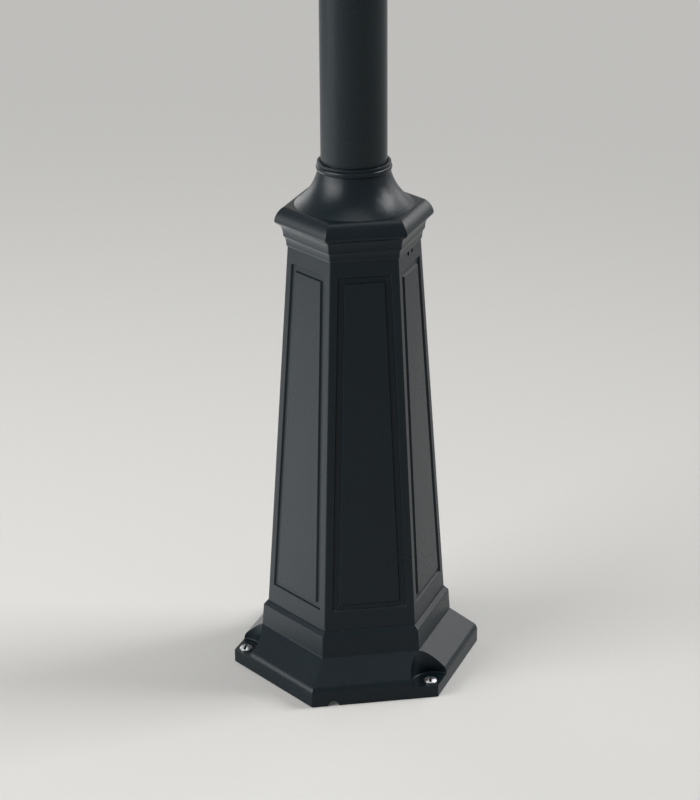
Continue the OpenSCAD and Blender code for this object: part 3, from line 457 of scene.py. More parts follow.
def moulding(radius, height, share=1.0):
    """The pedestal's moulding from its lowest point: a rounded toe (a quarter ellipse), two hollows
    (flares) with an upright fillet between them, a bead (an arc) and a nose, whose quarter is r
    + a cos(t)^n, z + b sin(t)^n. Everything is multiplied by share."""
    turn = height + (HOLLOWS_HEIGHT + BEAD_STEP + BEAD_ROUND) * share
    toe = arc((radius, height + TOE_HEIGHT * share), TOE_OUT * share, *TOE_SWEEP, 8,
              TOE_HEIGHT / TOE_OUT)
    low_end = radius + (TOE_OUT + LOW_COVE_OUT) * share
    low_cove = flare((radius + TOE_OUT * share, height + TOE_HEIGHT * share),
                     (low_end, height + (TOE_HEIGHT + LOW_COVE_HEIGHT) * share), *HOLLOW_SLOPES)
    cove = flare((low_end, height + (HOLLOWS_HEIGHT - COVE_HEIGHT) * share),
                 (radius + HOLLOWS_OUT * share, height + HOLLOWS_HEIGHT * share), *HOLLOW_SLOPES)
    bead = arc((radius + (NOSE_OUT - BEAD_ROUND) * share, turn), BEAD_ROUND * share, *BEAD_SWEEP)
    t = np.linspace(0, math.pi / 2, CURVE_STEPS + 1)
    nose = np.column_stack([
        radius + (NOSE_OUT - NOSE_RUN + NOSE_RUN * np.abs(np.cos(t)) ** NOSE_POWER) * share,
        turn + NOSE_RISE * share * np.sin(t) ** NOSE_POWER])
    return np.concatenate([toe, low_cove, cove, bead, nose])


def neck_bead(radius, low):
    """The rounded bead round a neck, from its lowest point up: half an ellipse."""
    middle = low + NECK_BEAD_HEIGHT / 2
    return arc((radius, middle), NECK_BEAD_OUT, -90, 90, 14, NECK_BEAD_HEIGHT / 2 / NECK_BEAD_OUT)


crown_moulding = moulding(*CROWN_FOOT)
shelf_reach, shelf_height = crown_moulding[-1]
neck_radius = BORE_RADIUS + NECK_WALL
bell_foot = shelf_reach * APOTHEM_SHARE - SHELF_EDGE
bell_top = shelf_height + BELL_HEIGHT
lip_low = bell_top + NECK_BEAD_HEIGHT
cavity_top = shelf_height - CROWN_WALL
crown_hexagon = np.concatenate([
    [(0, CROWN_LOW), (SPIGOT_REACH, CROWN_LOW), (SPIGOT_REACH, BODY_HIGH)], crown_moulding,
    [(0, shelf_height)]])
crown_bell = np.concatenate([
    [(0, cavity_top), (bell_foot, cavity_top)],
    flare((bell_foot, shelf_height), (neck_radius, bell_top), BELL_SHALLOW, BELL_STEEP),
    neck_bead(neck_radius, bell_top),
    [(neck_radius + LIP_ROUND, lip_low + LIP_ROUND)],
    arc((neck_radius, CROWN_HIGH - LIP_ROUND), LIP_ROUND, 0, 90, 4), [(0, CROWN_HIGH)]])
crown_cavity = np.array([
    (0, CROWN_LOW - PAST), (SPIGOT_INSIDE, CROWN_LOW - PAST), (SPIGOT_INSIDE, BODY_HIGH),
    (CAVITY_REACH, BODY_HIGH + HOLLOWS_HEIGHT / 2), (CAVITY_REACH, cavity_top), (0, cavity_top)])
tube_socket = np.array([
    (0, CROWN_LOW - PAST), (LEDGE_RADIUS, CROWN_LOW - PAST),
    (LEDGE_RADIUS, CROWN_LOW + LEDGE_HEIGHT),
    (BORE_RADIUS, CROWN_LOW + LEDGE_HEIGHT), (BORE_RADIUS, CROWN_HIGH - SEAL_SEAT_DEPTH),
    (SEAL_SEAT_RADIUS, CROWN_HIGH - SEAL_SEAT_DEPTH), (SEAL_SEAT_RADIUS, CROWN_HIGH + PAST),
    (0, CROWN_HIGH + PAST)])
sleeve = turned(bar_profile(SLEEVE_RADIUS, CROWN_LOW - 2 * PAST, CROWN_HIGH - CROWN_WALL), 96)
crown_room = carved(grid_mesh([mitred(crown_cavity)]), [("DIFFERENCE", grid_mesh([sleeve]))])
crown_mesh = carved(grid_mesh([mitred(crown_hexagon)]), [
    ("DIFFERENCE", crown_room),
    ("UNION", grid_mesh([turned(crown_bell, 144)])),
    ("DIFFERENCE", grid_mesh([turned(tube_socket, 144)])),
])
add_piece("crown", crown_mesh, casting_black, "post", ["crown_casting"])

# ---- Set screws of the crown ----
# Two pairs of blackened grub screws go through the body's top rail on to the crown's spigot. Of
# each pair, one is driven deep and one stands nearly level with the face.


def metal(name, colour, roughness, scale=900.0, strength=0.2, metallic=1.0):
    """A plain metal, or with metallic at nought a plain ceramic, rubber or plastic: its gloss and
    colour vary with a noise, which also gives it a fine bump."""
    glosses = (roughness * 0.8, roughness * 1.25)
    finish, _, noise, bump = mottled(name, colour, (0.8, 1.15), glosses, scale, detail=4.0,
                                     strength=strength, distance=0.0002)
    finish.node_tree.links.new(noise.outputs["Fac"], bump.inputs["Height"])
    set_inputs(finish.node_tree.nodes["Principled BSDF"], Metallic=metallic)
    return finish


def dress(finish, *names):
    """Gives CAD nodes that keep their own shapes their finish."""
    for name in names:
        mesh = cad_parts[name].data
        mesh.materials.clear()
        mesh.materials.append(finish)


blackened_steel = metal("blackened_steel", (0.055, 0.056, 0.06), roughness=0.42)
dress(blackened_steel, "crown_set_screws")

# ---- Ground screws ----
# Three stainless screws with low domed heads hold the foot down. Each head has a cross recess whose
# slots taper as they go down to its middle; their floors have painted shade, darker the deeper
# they lie. The screws were driven home at different turns.
HEAD_RADIUS, HEAD_HEIGHT, HEAD_EDGE = 0.0060, 0.0034, 0.0012
UNDER_SHARE, RIM_SHARE = 0.97, 0.4
SHANK_RADIUS = 0.0030
RECESS_REACH, RECESS_HALF, RECESS_DEPTH = 0.0054, 0.0009, 0.0023
SLOT_SLOPE = 0.0002
# Painted shade: the recess floors turn towards this dark colour over this depth below the dome.
PAINTED_SHADE_DEPTH, PAINTED_SHADE_COLOUR = 0.0004, (0.03, 0.032, 0.034)
SCREW_TURNS = (20, 68, 79)


def dome_height(r):
    """The head's height over its underside at radius r, without the cross. With e the height of
    its edge, h that of its middle and R its radius, it is e + (h - e)(1 - (r / R)^3)."""
    return HEAD_EDGE + (HEAD_HEIGHT - HEAD_EDGE) * (1 - (r / HEAD_RADIUS) ** 3)


def cross_head(rings=40, segments=96):
    """A domed screw head with a cross recess: the dome's height less depth * 2 (1 - r / reach),
    held between nought and depth, times a smooth step that is one within the slot's half width
    of either cross line and nought a fifth of a millimetre further out."""
    r = HEAD_RADIUS * np.sqrt(np.linspace(0, 1, rings))[::-1, None]
    a = (np.arange(segments) + 0.5) * 2 * math.pi / segments
    x, y = r * np.cos(a), r * np.sin(a)
    off_line = np.minimum(np.abs(x), np.abs(y))
    slot = np.clip((RECESS_HALF + SLOT_SLOPE - off_line) / SLOT_SLOPE, 0, 1)
    depth = RECESS_DEPTH * np.clip(2 * (1 - r / RECESS_REACH), 0, 1)
    return np.stack([x, y, dome_height(r) - depth * slot * slot * (3 - 2 * slot)], -1)


def domed_screw(place, floor, tip, degrees):
    """A whole screw standing in a hole: the shank from its tip up, the head's flat underside, its
    rim and the cross-recessed top, as one closed grid turned to an angle."""
    top = cross_head()
    shank = [(0, tip - floor), (SHANK_RADIUS, tip - floor), (SHANK_RADIUS, 0),
             (HEAD_RADIUS * UNDER_SHARE, 0), (HEAD_RADIUS, HEAD_EDGE * RIM_SHARE)]
    below = turned(np.array(shank), top.shape[1])
    whole = spun(np.concatenate([below, top], 0), degrees)
    return whole + np.array([*place, floor])


def mark_recess(mesh, places, floor):
    """Writes the attribute "recess" at every point of the screws: (dome height - own height) /
    painted shade depth, held between nought and one, inside the cross's reach and above the head's
    rim, and nought elsewhere. It sets how dark the painted shade in the recess is."""
    points = np.empty(len(mesh.vertices) * 3)
    mesh.vertices.foreach_get("co", points)
    points = points.reshape(-1, 3)
    away = np.linalg.norm(points[:, None, :2] - np.array(places)[None], axis=2).min(1)
    height = points[:, 2] - floor
    inside = (away < RECESS_REACH) & (height > HEAD_EDGE / 2)
    depth = np.clip((dome_height(away) - height) / PAINTED_SHADE_DEPTH, 0, 1)
    mark = mesh.attributes.new("recess", "FLOAT", "POINT")
    mark.data.foreach_set("value", np.where(inside, depth, 0.0))


stainless = metal("stainless", (0.66, 0.67, 0.68), roughness=0.3, scale=600.0, strength=0.25)
screw_steel = metal("screw_steel", (0.55, 0.56, 0.58), roughness=0.36, scale=600.0, strength=0.25)
nodes, links = screw_steel.node_tree.nodes, screw_steel.node_tree.links
steel_shader = nodes["Principled BSDF"]
steel_tint = steel_shader.inputs["Base Color"].links[0].from_socket
# Painted shade: the steel darkens towards a dark grey inside the cross recesses, the more the
# deeper, in place of the shade there.
recess_mark = nodes.new("ShaderNodeAttribute")
recess_mark.attribute_name = "recess"
painted_shade = set_inputs(nodes.new("ShaderNodeMixRGB"), Color2=(*PAINTED_SHADE_COLOUR, 1))
links.new(recess_mark.outputs["Fac"], painted_shade.inputs["Fac"])
links.new(steel_tint, painted_shade.inputs["Color1"])
links.new(painted_shade.outputs["Color"], steel_shader.inputs["Base Color"])

screw_places = [on_corner(SCREW_CIRCLE, a) for a in POCKET_CORNERS]
screw_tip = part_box("ground_screws")[0].z
screws_mesh = grid_mesh([domed_screw(place, POCKET_FLOOR, screw_tip, turn)
                         for place, turn in zip(screw_places, SCREW_TURNS)])
mark_recess(screws_mesh, screw_places, POCKET_FLOOR)
add_piece("ground_screw_set", screws_mesh, screw_steel, "post", ["ground_screws"])

# ---- Tube ----
# A plain round steel tube stands on a ledge inside the crown. Its powder coat is that of the
# castings, a shade lighter.
TUBE_LOW, TUBE_HIGH = (corner.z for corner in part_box("post_tube"))
TUBE_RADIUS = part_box("post_tube")[1].x
TUBE_WALL, TUBE_ROUND = 0.0025, 0.0004
TUBE_COLOUR = (0.009, 0.015, 0.018)

tube_black = powder_coat("tube_black", TUBE_COLOUR)
tube_profile = rounded(
    [(TUBE_RADIUS - TUBE_WALL, TUBE_LOW), (TUBE_RADIUS, TUBE_LOW), (TUBE_RADIUS, TUBE_HIGH),
     (TUBE_RADIUS - TUBE_WALL, TUBE_HIGH)], [TUBE_ROUND] * 4, steps=3)
tube_mesh = grid_mesh([turned(tube_profile, 160)])
add_piece("tube", tube_mesh, tube_black, "post", ["post_tube"])

# ---- Neck seal ----
# A soft black rubber ring is pushed into the gap between the neck and the tube. Its top edge is
# rolled over.
SEAL_LOW, SEAL_HIGH = (corner.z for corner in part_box("neck_seal"))
SEAL_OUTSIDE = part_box("neck_seal")[1].x
SEAL_INSIDE = 0.0301
SEAL_ROLL = 0.0003

seal_rubber = metal("seal_rubber", (0.014, 0.014, 0.015), roughness=0.7, scale=500.0, strength=0.3,
                    metallic=0.0)
seal_profile = rounded(
    [(SEAL_INSIDE, SEAL_LOW), (SEAL_OUTSIDE, SEAL_LOW),
     (SEAL_OUTSIDE, SEAL_HIGH), (SEAL_INSIDE, SEAL_HIGH)],
    [0, 0, SEAL_ROLL, SEAL_ROLL], steps=4)
seal_mesh = grid_mesh([turned(seal_profile, 120)])
add_piece("seal", seal_mesh, seal_rubber, "post", ["neck_seal"])

# ---- Tie rod and anchor ----
# A zinc-plated threaded rod pulls the tube, the crown and the body down on to the foot. Its thread
# is cut all the way, and a plate welded in the tube takes its upper end.
ROD_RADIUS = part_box("tie_rod")[1].x
ROD_LOW, ROD_HIGH = (corner.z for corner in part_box("tie_rod"))
ROD_PITCH, ROD_THREAD_DEPTH = 0.0015, 0.0009


def threaded_bar(radius, depth, pitch, low, high, segments=24, per_turn=8):
    """A bar with a screw thread: its radius at height z and angle a is R - d |2 f - 1|, where f is
    the part after the point of z / pitch - a / 360 degrees, so that the crest climbs one pitch
    in a turn."""
    rows = int((high - low) / pitch * per_turn)
    z = np.linspace(low, high, rows)[:, None]
    a = np.arange(segments) * 2 * math.pi / segments
    phase = (z / pitch - a / (2 * math.pi)) % 1.0
    taper = np.clip(np.minimum(z - low, high - z) / pitch, 0, 1)
    r = radius - depth * (np.abs(2 * phase - 1) * taper + (1 - taper))
    rod = np.stack([r * np.cos(a), r * np.sin(a), np.broadcast_to(z, r.shape)], -1)
    ends = [np.broadcast_to([0.0, 0.0, h], (1, segments, 3)) for h in (low, high)]
    return np.concatenate([ends[0], rod, ends[1]], 0)


zinc = metal("zinc", (0.52, 0.53, 0.55), roughness=0.38, scale=220.0, strength=0.15)
rod_mesh = grid_mesh([threaded_bar(ROD_RADIUS, ROD_THREAD_DEPTH, ROD_PITCH, ROD_LOW, ROD_HIGH)])
add_piece("tie_rod_thread", rod_mesh, zinc, "post", ["tie_rod"], sharp_above=60)
dress(zinc, "tube_anchor", "tie_rod_washer", "tie_rod_nut")

# ---- Fitter ----
# A round casting slips over the tube's top end. Its mouth has the neck's bead again, and it flares
# to the flange that carries the lantern. Three cross-drilled thumb screws clamp it.
FITTER_LOW, FITTER_HIGH = (corner.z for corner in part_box("fitter_casting"))
SOCKET_RADIUS = 0.0354
FLANGE_RADIUS, FLANGE_HEIGHT, FLANGE_ROUND = 0.060, 0.004, 0.0008
STOP_HEIGHT = 0.005
WIRE_RADIUS = 0.008
FUNNEL_LOW, FUNNEL_HIGH = 0.0254, 0.0446
THUMB_HEIGHT = (FITTER_LOW + TUBE_HIGH) / 2
THUMB_ANGLES = (30, 150, 270)
THUMB_SHANK, THUMB_RADIUS, THUMB_LENGTH = 0.003, 0.006, 0.005
BOLT_CIRCLE, BOLT_HOLE, BOLT_HOLE_DEPTH = 0.0546, 0.0026, 0.016
BOLT_ANGLES = (0, 120, 240)
HOLE_PLAY, TIP_GAP, HEAD_GAP = 0.0001, 0.0001, 0.0002

flange_foot = (FLANGE_RADIUS - FLANGE_HEIGHT, FITTER_HIGH - FLANGE_HEIGHT)
fitter_outline = np.concatenate([
    [(0, FITTER_LOW), (SOCKET_RADIUS, FITTER_LOW)], neck_bead(SOCKET_RADIUS, FITTER_LOW)[1:],
    flare((SOCKET_RADIUS, TUBE_HIGH - STOP_HEIGHT), flange_foot, BELL_STEEP, BELL_SHALLOW),
    rounded([flange_foot, (FLANGE_RADIUS, flange_foot[1]), (FLANGE_RADIUS, FITTER_HIGH),
             (0, FITTER_HIGH)], [0, FLANGE_ROUND, FLANGE_ROUND, 0], 4)[1:]])
fitter_inside = np.array([
    (0, FITTER_LOW - PAST), (BORE_RADIUS, FITTER_LOW - PAST), (BORE_RADIUS, TUBE_HIGH),
    (WIRE_RADIUS, TUBE_HIGH), (WIRE_RADIUS, TUBE_HIGH + STOP_HEIGHT),
    (FUNNEL_LOW, TUBE_HIGH + STOP_HEIGHT), (FUNNEL_HIGH, FITTER_HIGH - 2 * FLANGE_HEIGHT),
    (FUNNEL_HIGH, FITTER_HIGH + PAST), (0, FITTER_HIGH + PAST)])
thumb_holes = [radial_bar(THUMB_SHANK + HOLE_PLAY, BORE_RADIUS - PAST, SOCKET_RADIUS + PAST,
                          THUMB_HEIGHT, a) for a in THUMB_ANGLES]
bolt_holes = [turned(bar_profile(BOLT_HOLE, FITTER_HIGH - BOLT_HOLE_DEPTH, FITTER_HIGH + PAST), 24,
                     on_corner(BOLT_CIRCLE, a)) for a in BOLT_ANGLES]
add_piece("fitter", carved(grid_mesh([turned(fitter_outline, 144)]), [
    ("DIFFERENCE", grid_mesh([turned(fitter_inside, 144)])),
    ("DIFFERENCE", grid_mesh(thumb_holes + bolt_holes)),
]), casting_black, "post", ["fitter_casting"])


def knurled_head(radius, start, end, height, degrees, ribs=22, depth=0.0004):
    """A thumb screw's head pointing outwards: its radius is R - d (1 + cos(ribs a)) / 2 round the
    middle, plain and chamfered at both ends, with a dimple in its face."""
    facets = ribs * 6
    a = np.arange(facets) * 2 * math.pi / facets
    chamfer = depth * 1.6
    dimple_edge, dimple_floor = radius * 0.55, radius * 0.5
    stations = [(0, start, 0), (radius - chamfer, start, 0), (radius, start + chamfer, 1),
                (radius, end - chamfer, 1), (radius - chamfer, end, 0), (dimple_edge, end, 0),
                (dimple_floor, end - chamfer, 0), (0, end - chamfer, 0)]
    r, z, knurl = np.array(stations).T[:, :, None]
    reach = r - knurl * depth * (1 + np.cos(ribs * a)) / 2
    outwards = np.broadcast_to(z, reach.shape)
    laid = np.stack([outwards, reach * np.sin(a), height - reach * np.cos(a)], -1)
    return spun(laid, degrees)


def thumb_screws(head, shank, tip, start, end, height, angles):
    """Thumb screws that point at the axis from several sides, each with a knurled head and a plain
    shank that ends at its tip's distance from the axis."""
    screws = [knurled_head(head, start, end, height, a) for a in angles]
    screws += [radial_bar(shank, tip, start + PAST, height, a) for a in angles]
    return grid_mesh(screws)


thumb_start = SOCKET_RADIUS + HEAD_GAP
thumb_mesh = thumb_screws(THUMB_RADIUS, THUMB_SHANK, TUBE_RADIUS + TIP_GAP, thumb_start,
                          thumb_start + THUMB_LENGTH, THUMB_HEIGHT, THUMB_ANGLES)
add_piece("fitter_thumb_screws", thumb_mesh, blackened_steel, "post",
          ["fitter_set_screws"])

# ---- Tray ----
# The lantern's floor is a cast tray. Its edge is the pedestal's moulding again, a fifth smaller,
# and its top is dished for the lamp's bracket, the terminal block and the earth screw.
TRAY_LOW, TRAY_HIGH = (corner.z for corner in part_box("tray_casting"))
TRAY_SHARE, TRAY_REACH = 0.8, 0.080
TRAY_FLOOR = TRAY_LOW + 0.005
DISH_REACH, DISH_ROUND, DISH_CORNER = 0.0703, 0.002, 0.004
BRACKET_SCREW_PLACES = ((-0.026, 0), (0.026, 0))
EARTH_PLACE = (0.034, 0.044)
SMALL_HOLE = 0.0021

tray_outline = np.concatenate(
    [[(0, TRAY_LOW)], moulding(TRAY_REACH, TRAY_LOW, TRAY_SHARE), [(0, TRAY_HIGH)]])
dish = rounded(
    [(0, TRAY_FLOOR), (DISH_REACH, TRAY_FLOOR), (DISH_REACH, TRAY_HIGH + PAST),
     (0, TRAY_HIGH + PAST)], [0, DISH_ROUND, 0, 0])
hole_places = [(WIRE_RADIUS, (0, 0)), (SMALL_HOLE, EARTH_PLACE)]
hole_places += [(SMALL_HOLE, place) for place in BRACKET_SCREW_PLACES]
hole_places += [(BOLT_HOLE, on_corner(BOLT_CIRCLE, a)) for a in BOLT_ANGLES]
tray_holes = [turned(bar_profile(radius, TRAY_LOW - PAST, TRAY_FLOOR + PAST), 24, place)
              for radius, place in hole_places]
tray_mesh = carved(grid_mesh([mitred(tray_outline)]), [
    ("DIFFERENCE", grid_mesh([mitred(dish, DISH_CORNER)])),
    ("DIFFERENCE", grid_mesh(tray_holes)),
])
add_piece("tray", tray_mesh, casting_black, "post", ["tray_casting"])
dress(stainless, "tray_bolts", "bracket_screws", "pane_clips")

# ---- Cage ----
# The cage is one casting of six leaning bars between a bottom rail and a banded top rail. Its shape
# comes from the CAD node, with every edge softened as a mould leaves it.
CAGE_EDGE = 0.0008
NODE_MERGE_GAP = 5e-6
FLAT_BELOW, CRISP_ABOVE = math.radians(1.0), math.radians(25)


def softened_node(node, width, segments=3):
    """A copy of a CAD node's mesh with its loose triangles joined, its flat faces made whole, and
    its sharp edges rounded to a width."""
    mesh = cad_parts[node].data.copy()
    work = bmesh.new()
    work.from_mesh(mesh)
    bmesh.ops.remove_doubles(work, verts=work.verts, dist=NODE_MERGE_GAP)
    bmesh.ops.dissolve_limit(work, angle_limit=FLAT_BELOW, verts=work.verts, edges=work.edges)
    crisp = [e for e in work.edges if e.is_manifold and e.calc_face_angle() > CRISP_ABOVE]
    bmesh.ops.bevel(work, geom=crisp, offset=width, offset_type="OFFSET", segments=segments,
                    profile=0.5, affect="EDGES", clamp_overlap=True)
    work.to_mesh(mesh)
    work.free()
    return mesh


cage_mesh = softened_node("cage_frame", CAGE_EDGE)
add_piece("cage", cage_mesh, casting_black, "post", ["cage_frame"])

# ---- Glass ----
# Six panes of clear flat glass stand inside the cage's bars. Each has a fine ground edge all round,
# and a slight wave in its surface.
PANE_EDGE = 0.0004

clear_glass = bpy.data.materials.new("clear_glass")
clear_glass.use_nodes = True
nodes, links = clear_glass.node_tree.nodes, clear_glass.node_tree.links
pane_shader = set_inputs(nodes["Principled BSDF"], Base_Color=(0.93, 0.96, 0.95, 1), Roughness=0.02,
                         IOR=1.5, Transmission_Weight=1.0)
pane_place = nodes.new("ShaderNodeTexCoord")
pane_wave = set_inputs(nodes.new("ShaderNodeTexNoise"), Scale=18.0)
pane_bump = set_inputs(nodes.new("ShaderNodeBump"), Strength=0.08, Distance=0.0006)
links.new(pane_place.outputs["Object"], pane_wave.inputs["Vector"])
links.new(pane_wave.outputs["Fac"], pane_bump.inputs["Height"])
links.new(pane_bump.outputs["Normal"], pane_shader.inputs["Normal"])
for i in range(1, SIDES + 1):
    pane_mesh = softened_node(f"glass_pane_{i}", PANE_EDGE, 2)
    add_piece(f"pane_{i}", pane_mesh, clear_glass, "post", [f"glass_pane_{i}"])

# ---- Lamp, holder and bracket ----
# The lamp stands on a bent strap: a white glazed holder on a brass nipple, and in it a lamp whose
# screw cap shows a thread and whose globe is opal glass.
HOLDER_LOW, HOLDER_HIGH = (corner.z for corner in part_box("lampholder"))
HOLDER_RADIUS, HOLDER_RIM_RADIUS, HOLDER_RIM_HEIGHT = 0.021, 0.0225, 0.005
HOLDER_BORE, HOLDER_BASE, NIPPLE_HOLE = 0.0136, 0.014, 0.0051
CAP_LOW, CAP_HIGH = (corner.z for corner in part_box("lamp_cap"))
CAP_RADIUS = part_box("lamp_cap")[1].x
CAP_PITCH, CAP_THREAD_DEPTH = 0.0036, 0.0011
GLOBE_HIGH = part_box("lamp_globe")[1].z
GLOBE_RADIUS, GLOBE_NECK, GLOBE_SHOULDER = 0.030, 0.0122, math.radians(42)
COLLAR_HEIGHT, COLLAR_SLOPE = 0.004, math.radians(84)
HOLDER_ROUNDS = (0, 0.003, 0.0004, 0.0006, 0.001, 0.0008, 0.001, 0)
BLOCK_EDGE = 0.0005

glazed_white = metal("glazed_white", (0.80, 0.79, 0.75), roughness=0.14, scale=60.0, strength=0.05,
                     metallic=0.0)
cap_metal = metal("cap_metal", (0.72, 0.73, 0.74), roughness=0.25, scale=400.0, strength=0.1)
opal = metal("opal", (0.88, 0.87, 0.83), roughness=0.2, scale=30.0, strength=0.03, metallic=0.0)
brass = metal("brass", (0.63, 0.45, 0.18), roughness=0.3, scale=300.0, strength=0.12)
holder_step, holder_rim = HOLDER_LOW + HOLDER_BASE, HOLDER_HIGH - HOLDER_RIM_HEIGHT
holder_profile = rounded(
    [(NIPPLE_HOLE, HOLDER_LOW), (HOLDER_RADIUS, HOLDER_LOW), (HOLDER_RADIUS, holder_rim),
     (HOLDER_RIM_RADIUS, holder_rim), (HOLDER_RIM_RADIUS, HOLDER_HIGH), (HOLDER_BORE, HOLDER_HIGH),
     (HOLDER_BORE, holder_step), (NIPPLE_HOLE, holder_step)], HOLDER_ROUNDS)
holder_mesh = grid_mesh([turned(holder_profile, 96)])
add_piece("holder", holder_mesh, glazed_white, "post", ["lampholder"])
cap_grid = threaded_bar(CAP_RADIUS, CAP_THREAD_DEPTH, CAP_PITCH, CAP_LOW, CAP_HIGH, 64, 10)
add_piece("screw_cap", grid_mesh([cap_grid]), cap_metal, "post", ["lamp_cap"],
          sharp_above=60)
globe_middle = GLOBE_HIGH - GLOBE_RADIUS
globe_profile = np.concatenate([
    [(0, CAP_HIGH), (GLOBE_NECK, CAP_HIGH)],
    flare((GLOBE_NECK, CAP_HIGH + COLLAR_HEIGHT),
          (GLOBE_RADIUS * math.cos(GLOBE_SHOULDER),
           globe_middle - GLOBE_RADIUS * math.sin(GLOBE_SHOULDER)),
          COLLAR_SLOPE, math.pi / 2 - GLOBE_SHOULDER),
    arc((0, globe_middle), GLOBE_RADIUS, -math.degrees(GLOBE_SHOULDER), 90, 40)[1:]])
globe_mesh = grid_mesh([turned(globe_profile, 96)], closed=False)
add_piece("globe", globe_mesh, opal, "post", ["lamp_globe"])
dress(zinc, "lamp_bracket")
dress(brass, "lamp_nipple", "nipple_nut", "earth_screw")

block_plastic = metal("block_plastic", (0.78, 0.77, 0.72), roughness=0.45, scale=500.0,
                      strength=0.1, metallic=0.0)
block_mesh = softened_node("terminal_block", BLOCK_EDGE)
add_piece("wiring_block", block_mesh, block_plastic, "post", ["terminal_block"])

# ---- Roof ----
# The roof is a cast lid. A plain skirt hangs over the cage's band, the pedestal's moulding makes
# its eaves, and from there it sweeps up in a hollow curve to a flat top with a bridge across its
# vent.
ROOF_LOW, ROOF_HIGH = (corner.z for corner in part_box("roof_shell"))
ROOF_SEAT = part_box("cage_frame")[1].z
ROOF_INSIDE, ROOF_WALL = 0.1256, 0.0035
ROOF_REACH = ROOF_INSIDE + ROOF_WALL / APOTHEM_SHARE
EAVES_SHARE, EAVES_LOW = 0.6, ROOF_LOW + 0.012
ROOF_TOP_REACH, ROOF_TOP_EDGE, ROOF_TOP_FLAT = 0.040, 0.0004, 0.0012
ROOF_LIP, ROOF_CORNER, ROOF_INSIDE_CORNER = 0.0006, 0.0022, 0.0012
ROOF_SEAT_REACH = 0.116
ROOF_SLOPES = (math.radians(24), math.radians(66))
VENT_RADIUS = 0.0243
BRIDGE_HALF, BRIDGE_DEPTH = 0.006, 0.004
STUD_HOLE = 0.0032
ROOF_SCREW_ANGLES = (30, 150, 270)
ROOF_SCREW_HEIGHT = ROOF_LOW + 0.006
ROOF_SCREW_RADIUS, ROOF_SCREW_HEAD, BAND_GAP = 0.002, 0.005, 0.0002

eaves = moulding(ROOF_REACH, EAVES_LOW, EAVES_SHARE)
roof_outline = np.concatenate([
    [(0, ROOF_LOW), (ROOF_REACH - ROOF_LIP, ROOF_LOW), (ROOF_REACH, ROOF_LOW + ROOF_LIP)], eaves,
    flare(eaves[-1], (ROOF_TOP_REACH - ROOF_TOP_EDGE, ROOF_HIGH - ROOF_TOP_EDGE), *ROOF_SLOPES,
          steps=48)[1:],
    [(ROOF_TOP_REACH - ROOF_TOP_FLAT, ROOF_HIGH), (0, ROOF_HIGH)]])
roof_inside = np.concatenate([
    [(0, ROOF_LOW - PAST), (ROOF_INSIDE, ROOF_LOW - PAST), (ROOF_INSIDE, ROOF_SEAT),
     (ROOF_SEAT_REACH, ROOF_SEAT)],
    flare((ROOF_SEAT_REACH, eaves[-1][1] - ROOF_WALL),
          (ROOF_TOP_REACH - ROOF_WALL, ROOF_HIGH - ROOF_WALL), *ROOF_SLOPES),
    [(0, ROOF_HIGH - ROOF_WALL)]])
vent = turned(bar_profile(VENT_RADIUS, ROOF_SEAT, ROOF_HIGH + PAST), 96)
bridge = box_points((-ROOF_TOP_REACH, -BRIDGE_HALF, ROOF_HIGH - BRIDGE_DEPTH),
                    (ROOF_TOP_REACH, BRIDGE_HALF, ROOF_HIGH + 2 * PAST))
roof_holes = [turned(bar_profile(STUD_HOLE, ROOF_SEAT, ROOF_HIGH + PAST), 24)]
roof_holes += [radial_bar(ROOF_SCREW_RADIUS + HOLE_PLAY, ROOF_SEAT_REACH * APOTHEM_SHARE,
                          ROOF_REACH, ROOF_SCREW_HEIGHT, a) for a in ROOF_SCREW_ANGLES]
roof_mesh = carved(grid_mesh([mitred(roof_outline, ROOF_CORNER)]), [
    ("DIFFERENCE", grid_mesh([mitred(roof_inside, ROOF_INSIDE_CORNER)])),
    ("DIFFERENCE", carved(grid_mesh([vent]), [("DIFFERENCE", grid_mesh([bridge]))])),
    ("DIFFERENCE", grid_mesh(roof_holes)),
])
add_piece("roof", roof_mesh, casting_black, "roof", ["roof_shell"])

roof_screw_start = ROOF_REACH * APOTHEM_SHARE + HEAD_GAP
roof_screw_end = (ROOF_REACH + NOSE_OUT * EAVES_SHARE) * APOTHEM_SHARE
roof_screw_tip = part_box("cage_frame")[1].y + BAND_GAP
roof_screw_mesh = thumb_screws(ROOF_SCREW_HEAD, ROOF_SCREW_RADIUS, roof_screw_tip, roof_screw_start,
                               roof_screw_end, ROOF_SCREW_HEIGHT, ROOF_SCREW_ANGLES)
add_piece("roof_thumb_screws", roof_screw_mesh, blackened_steel, "roof",
          ["roof_screws"])

# ---- Vent drum and cap ----
# Warm air leaves by a slotted drum under a small six-sided cap, whose top has the roof's sweep
# again. The drum's slots come from the CAD node, and its edges are softened.
CAP_LIP_LOW, CAP_TOP = (corner.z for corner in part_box("vent_cap"))
CAP_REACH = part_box("vent_cap")[1].x
CAP_LIP, CAP_LAP = 0.004, 0.005
CAP_ROUND, CAP_STEP, CAP_SHELF, CAP_CORNER = 0.0008, 0.0006, 0.001, 0.0015
CAP_HUB = 0.010
DRUM_RADIUS, DRUM_EDGE, DRUM_PLAY = 0.029, 0.0003, 0.0004

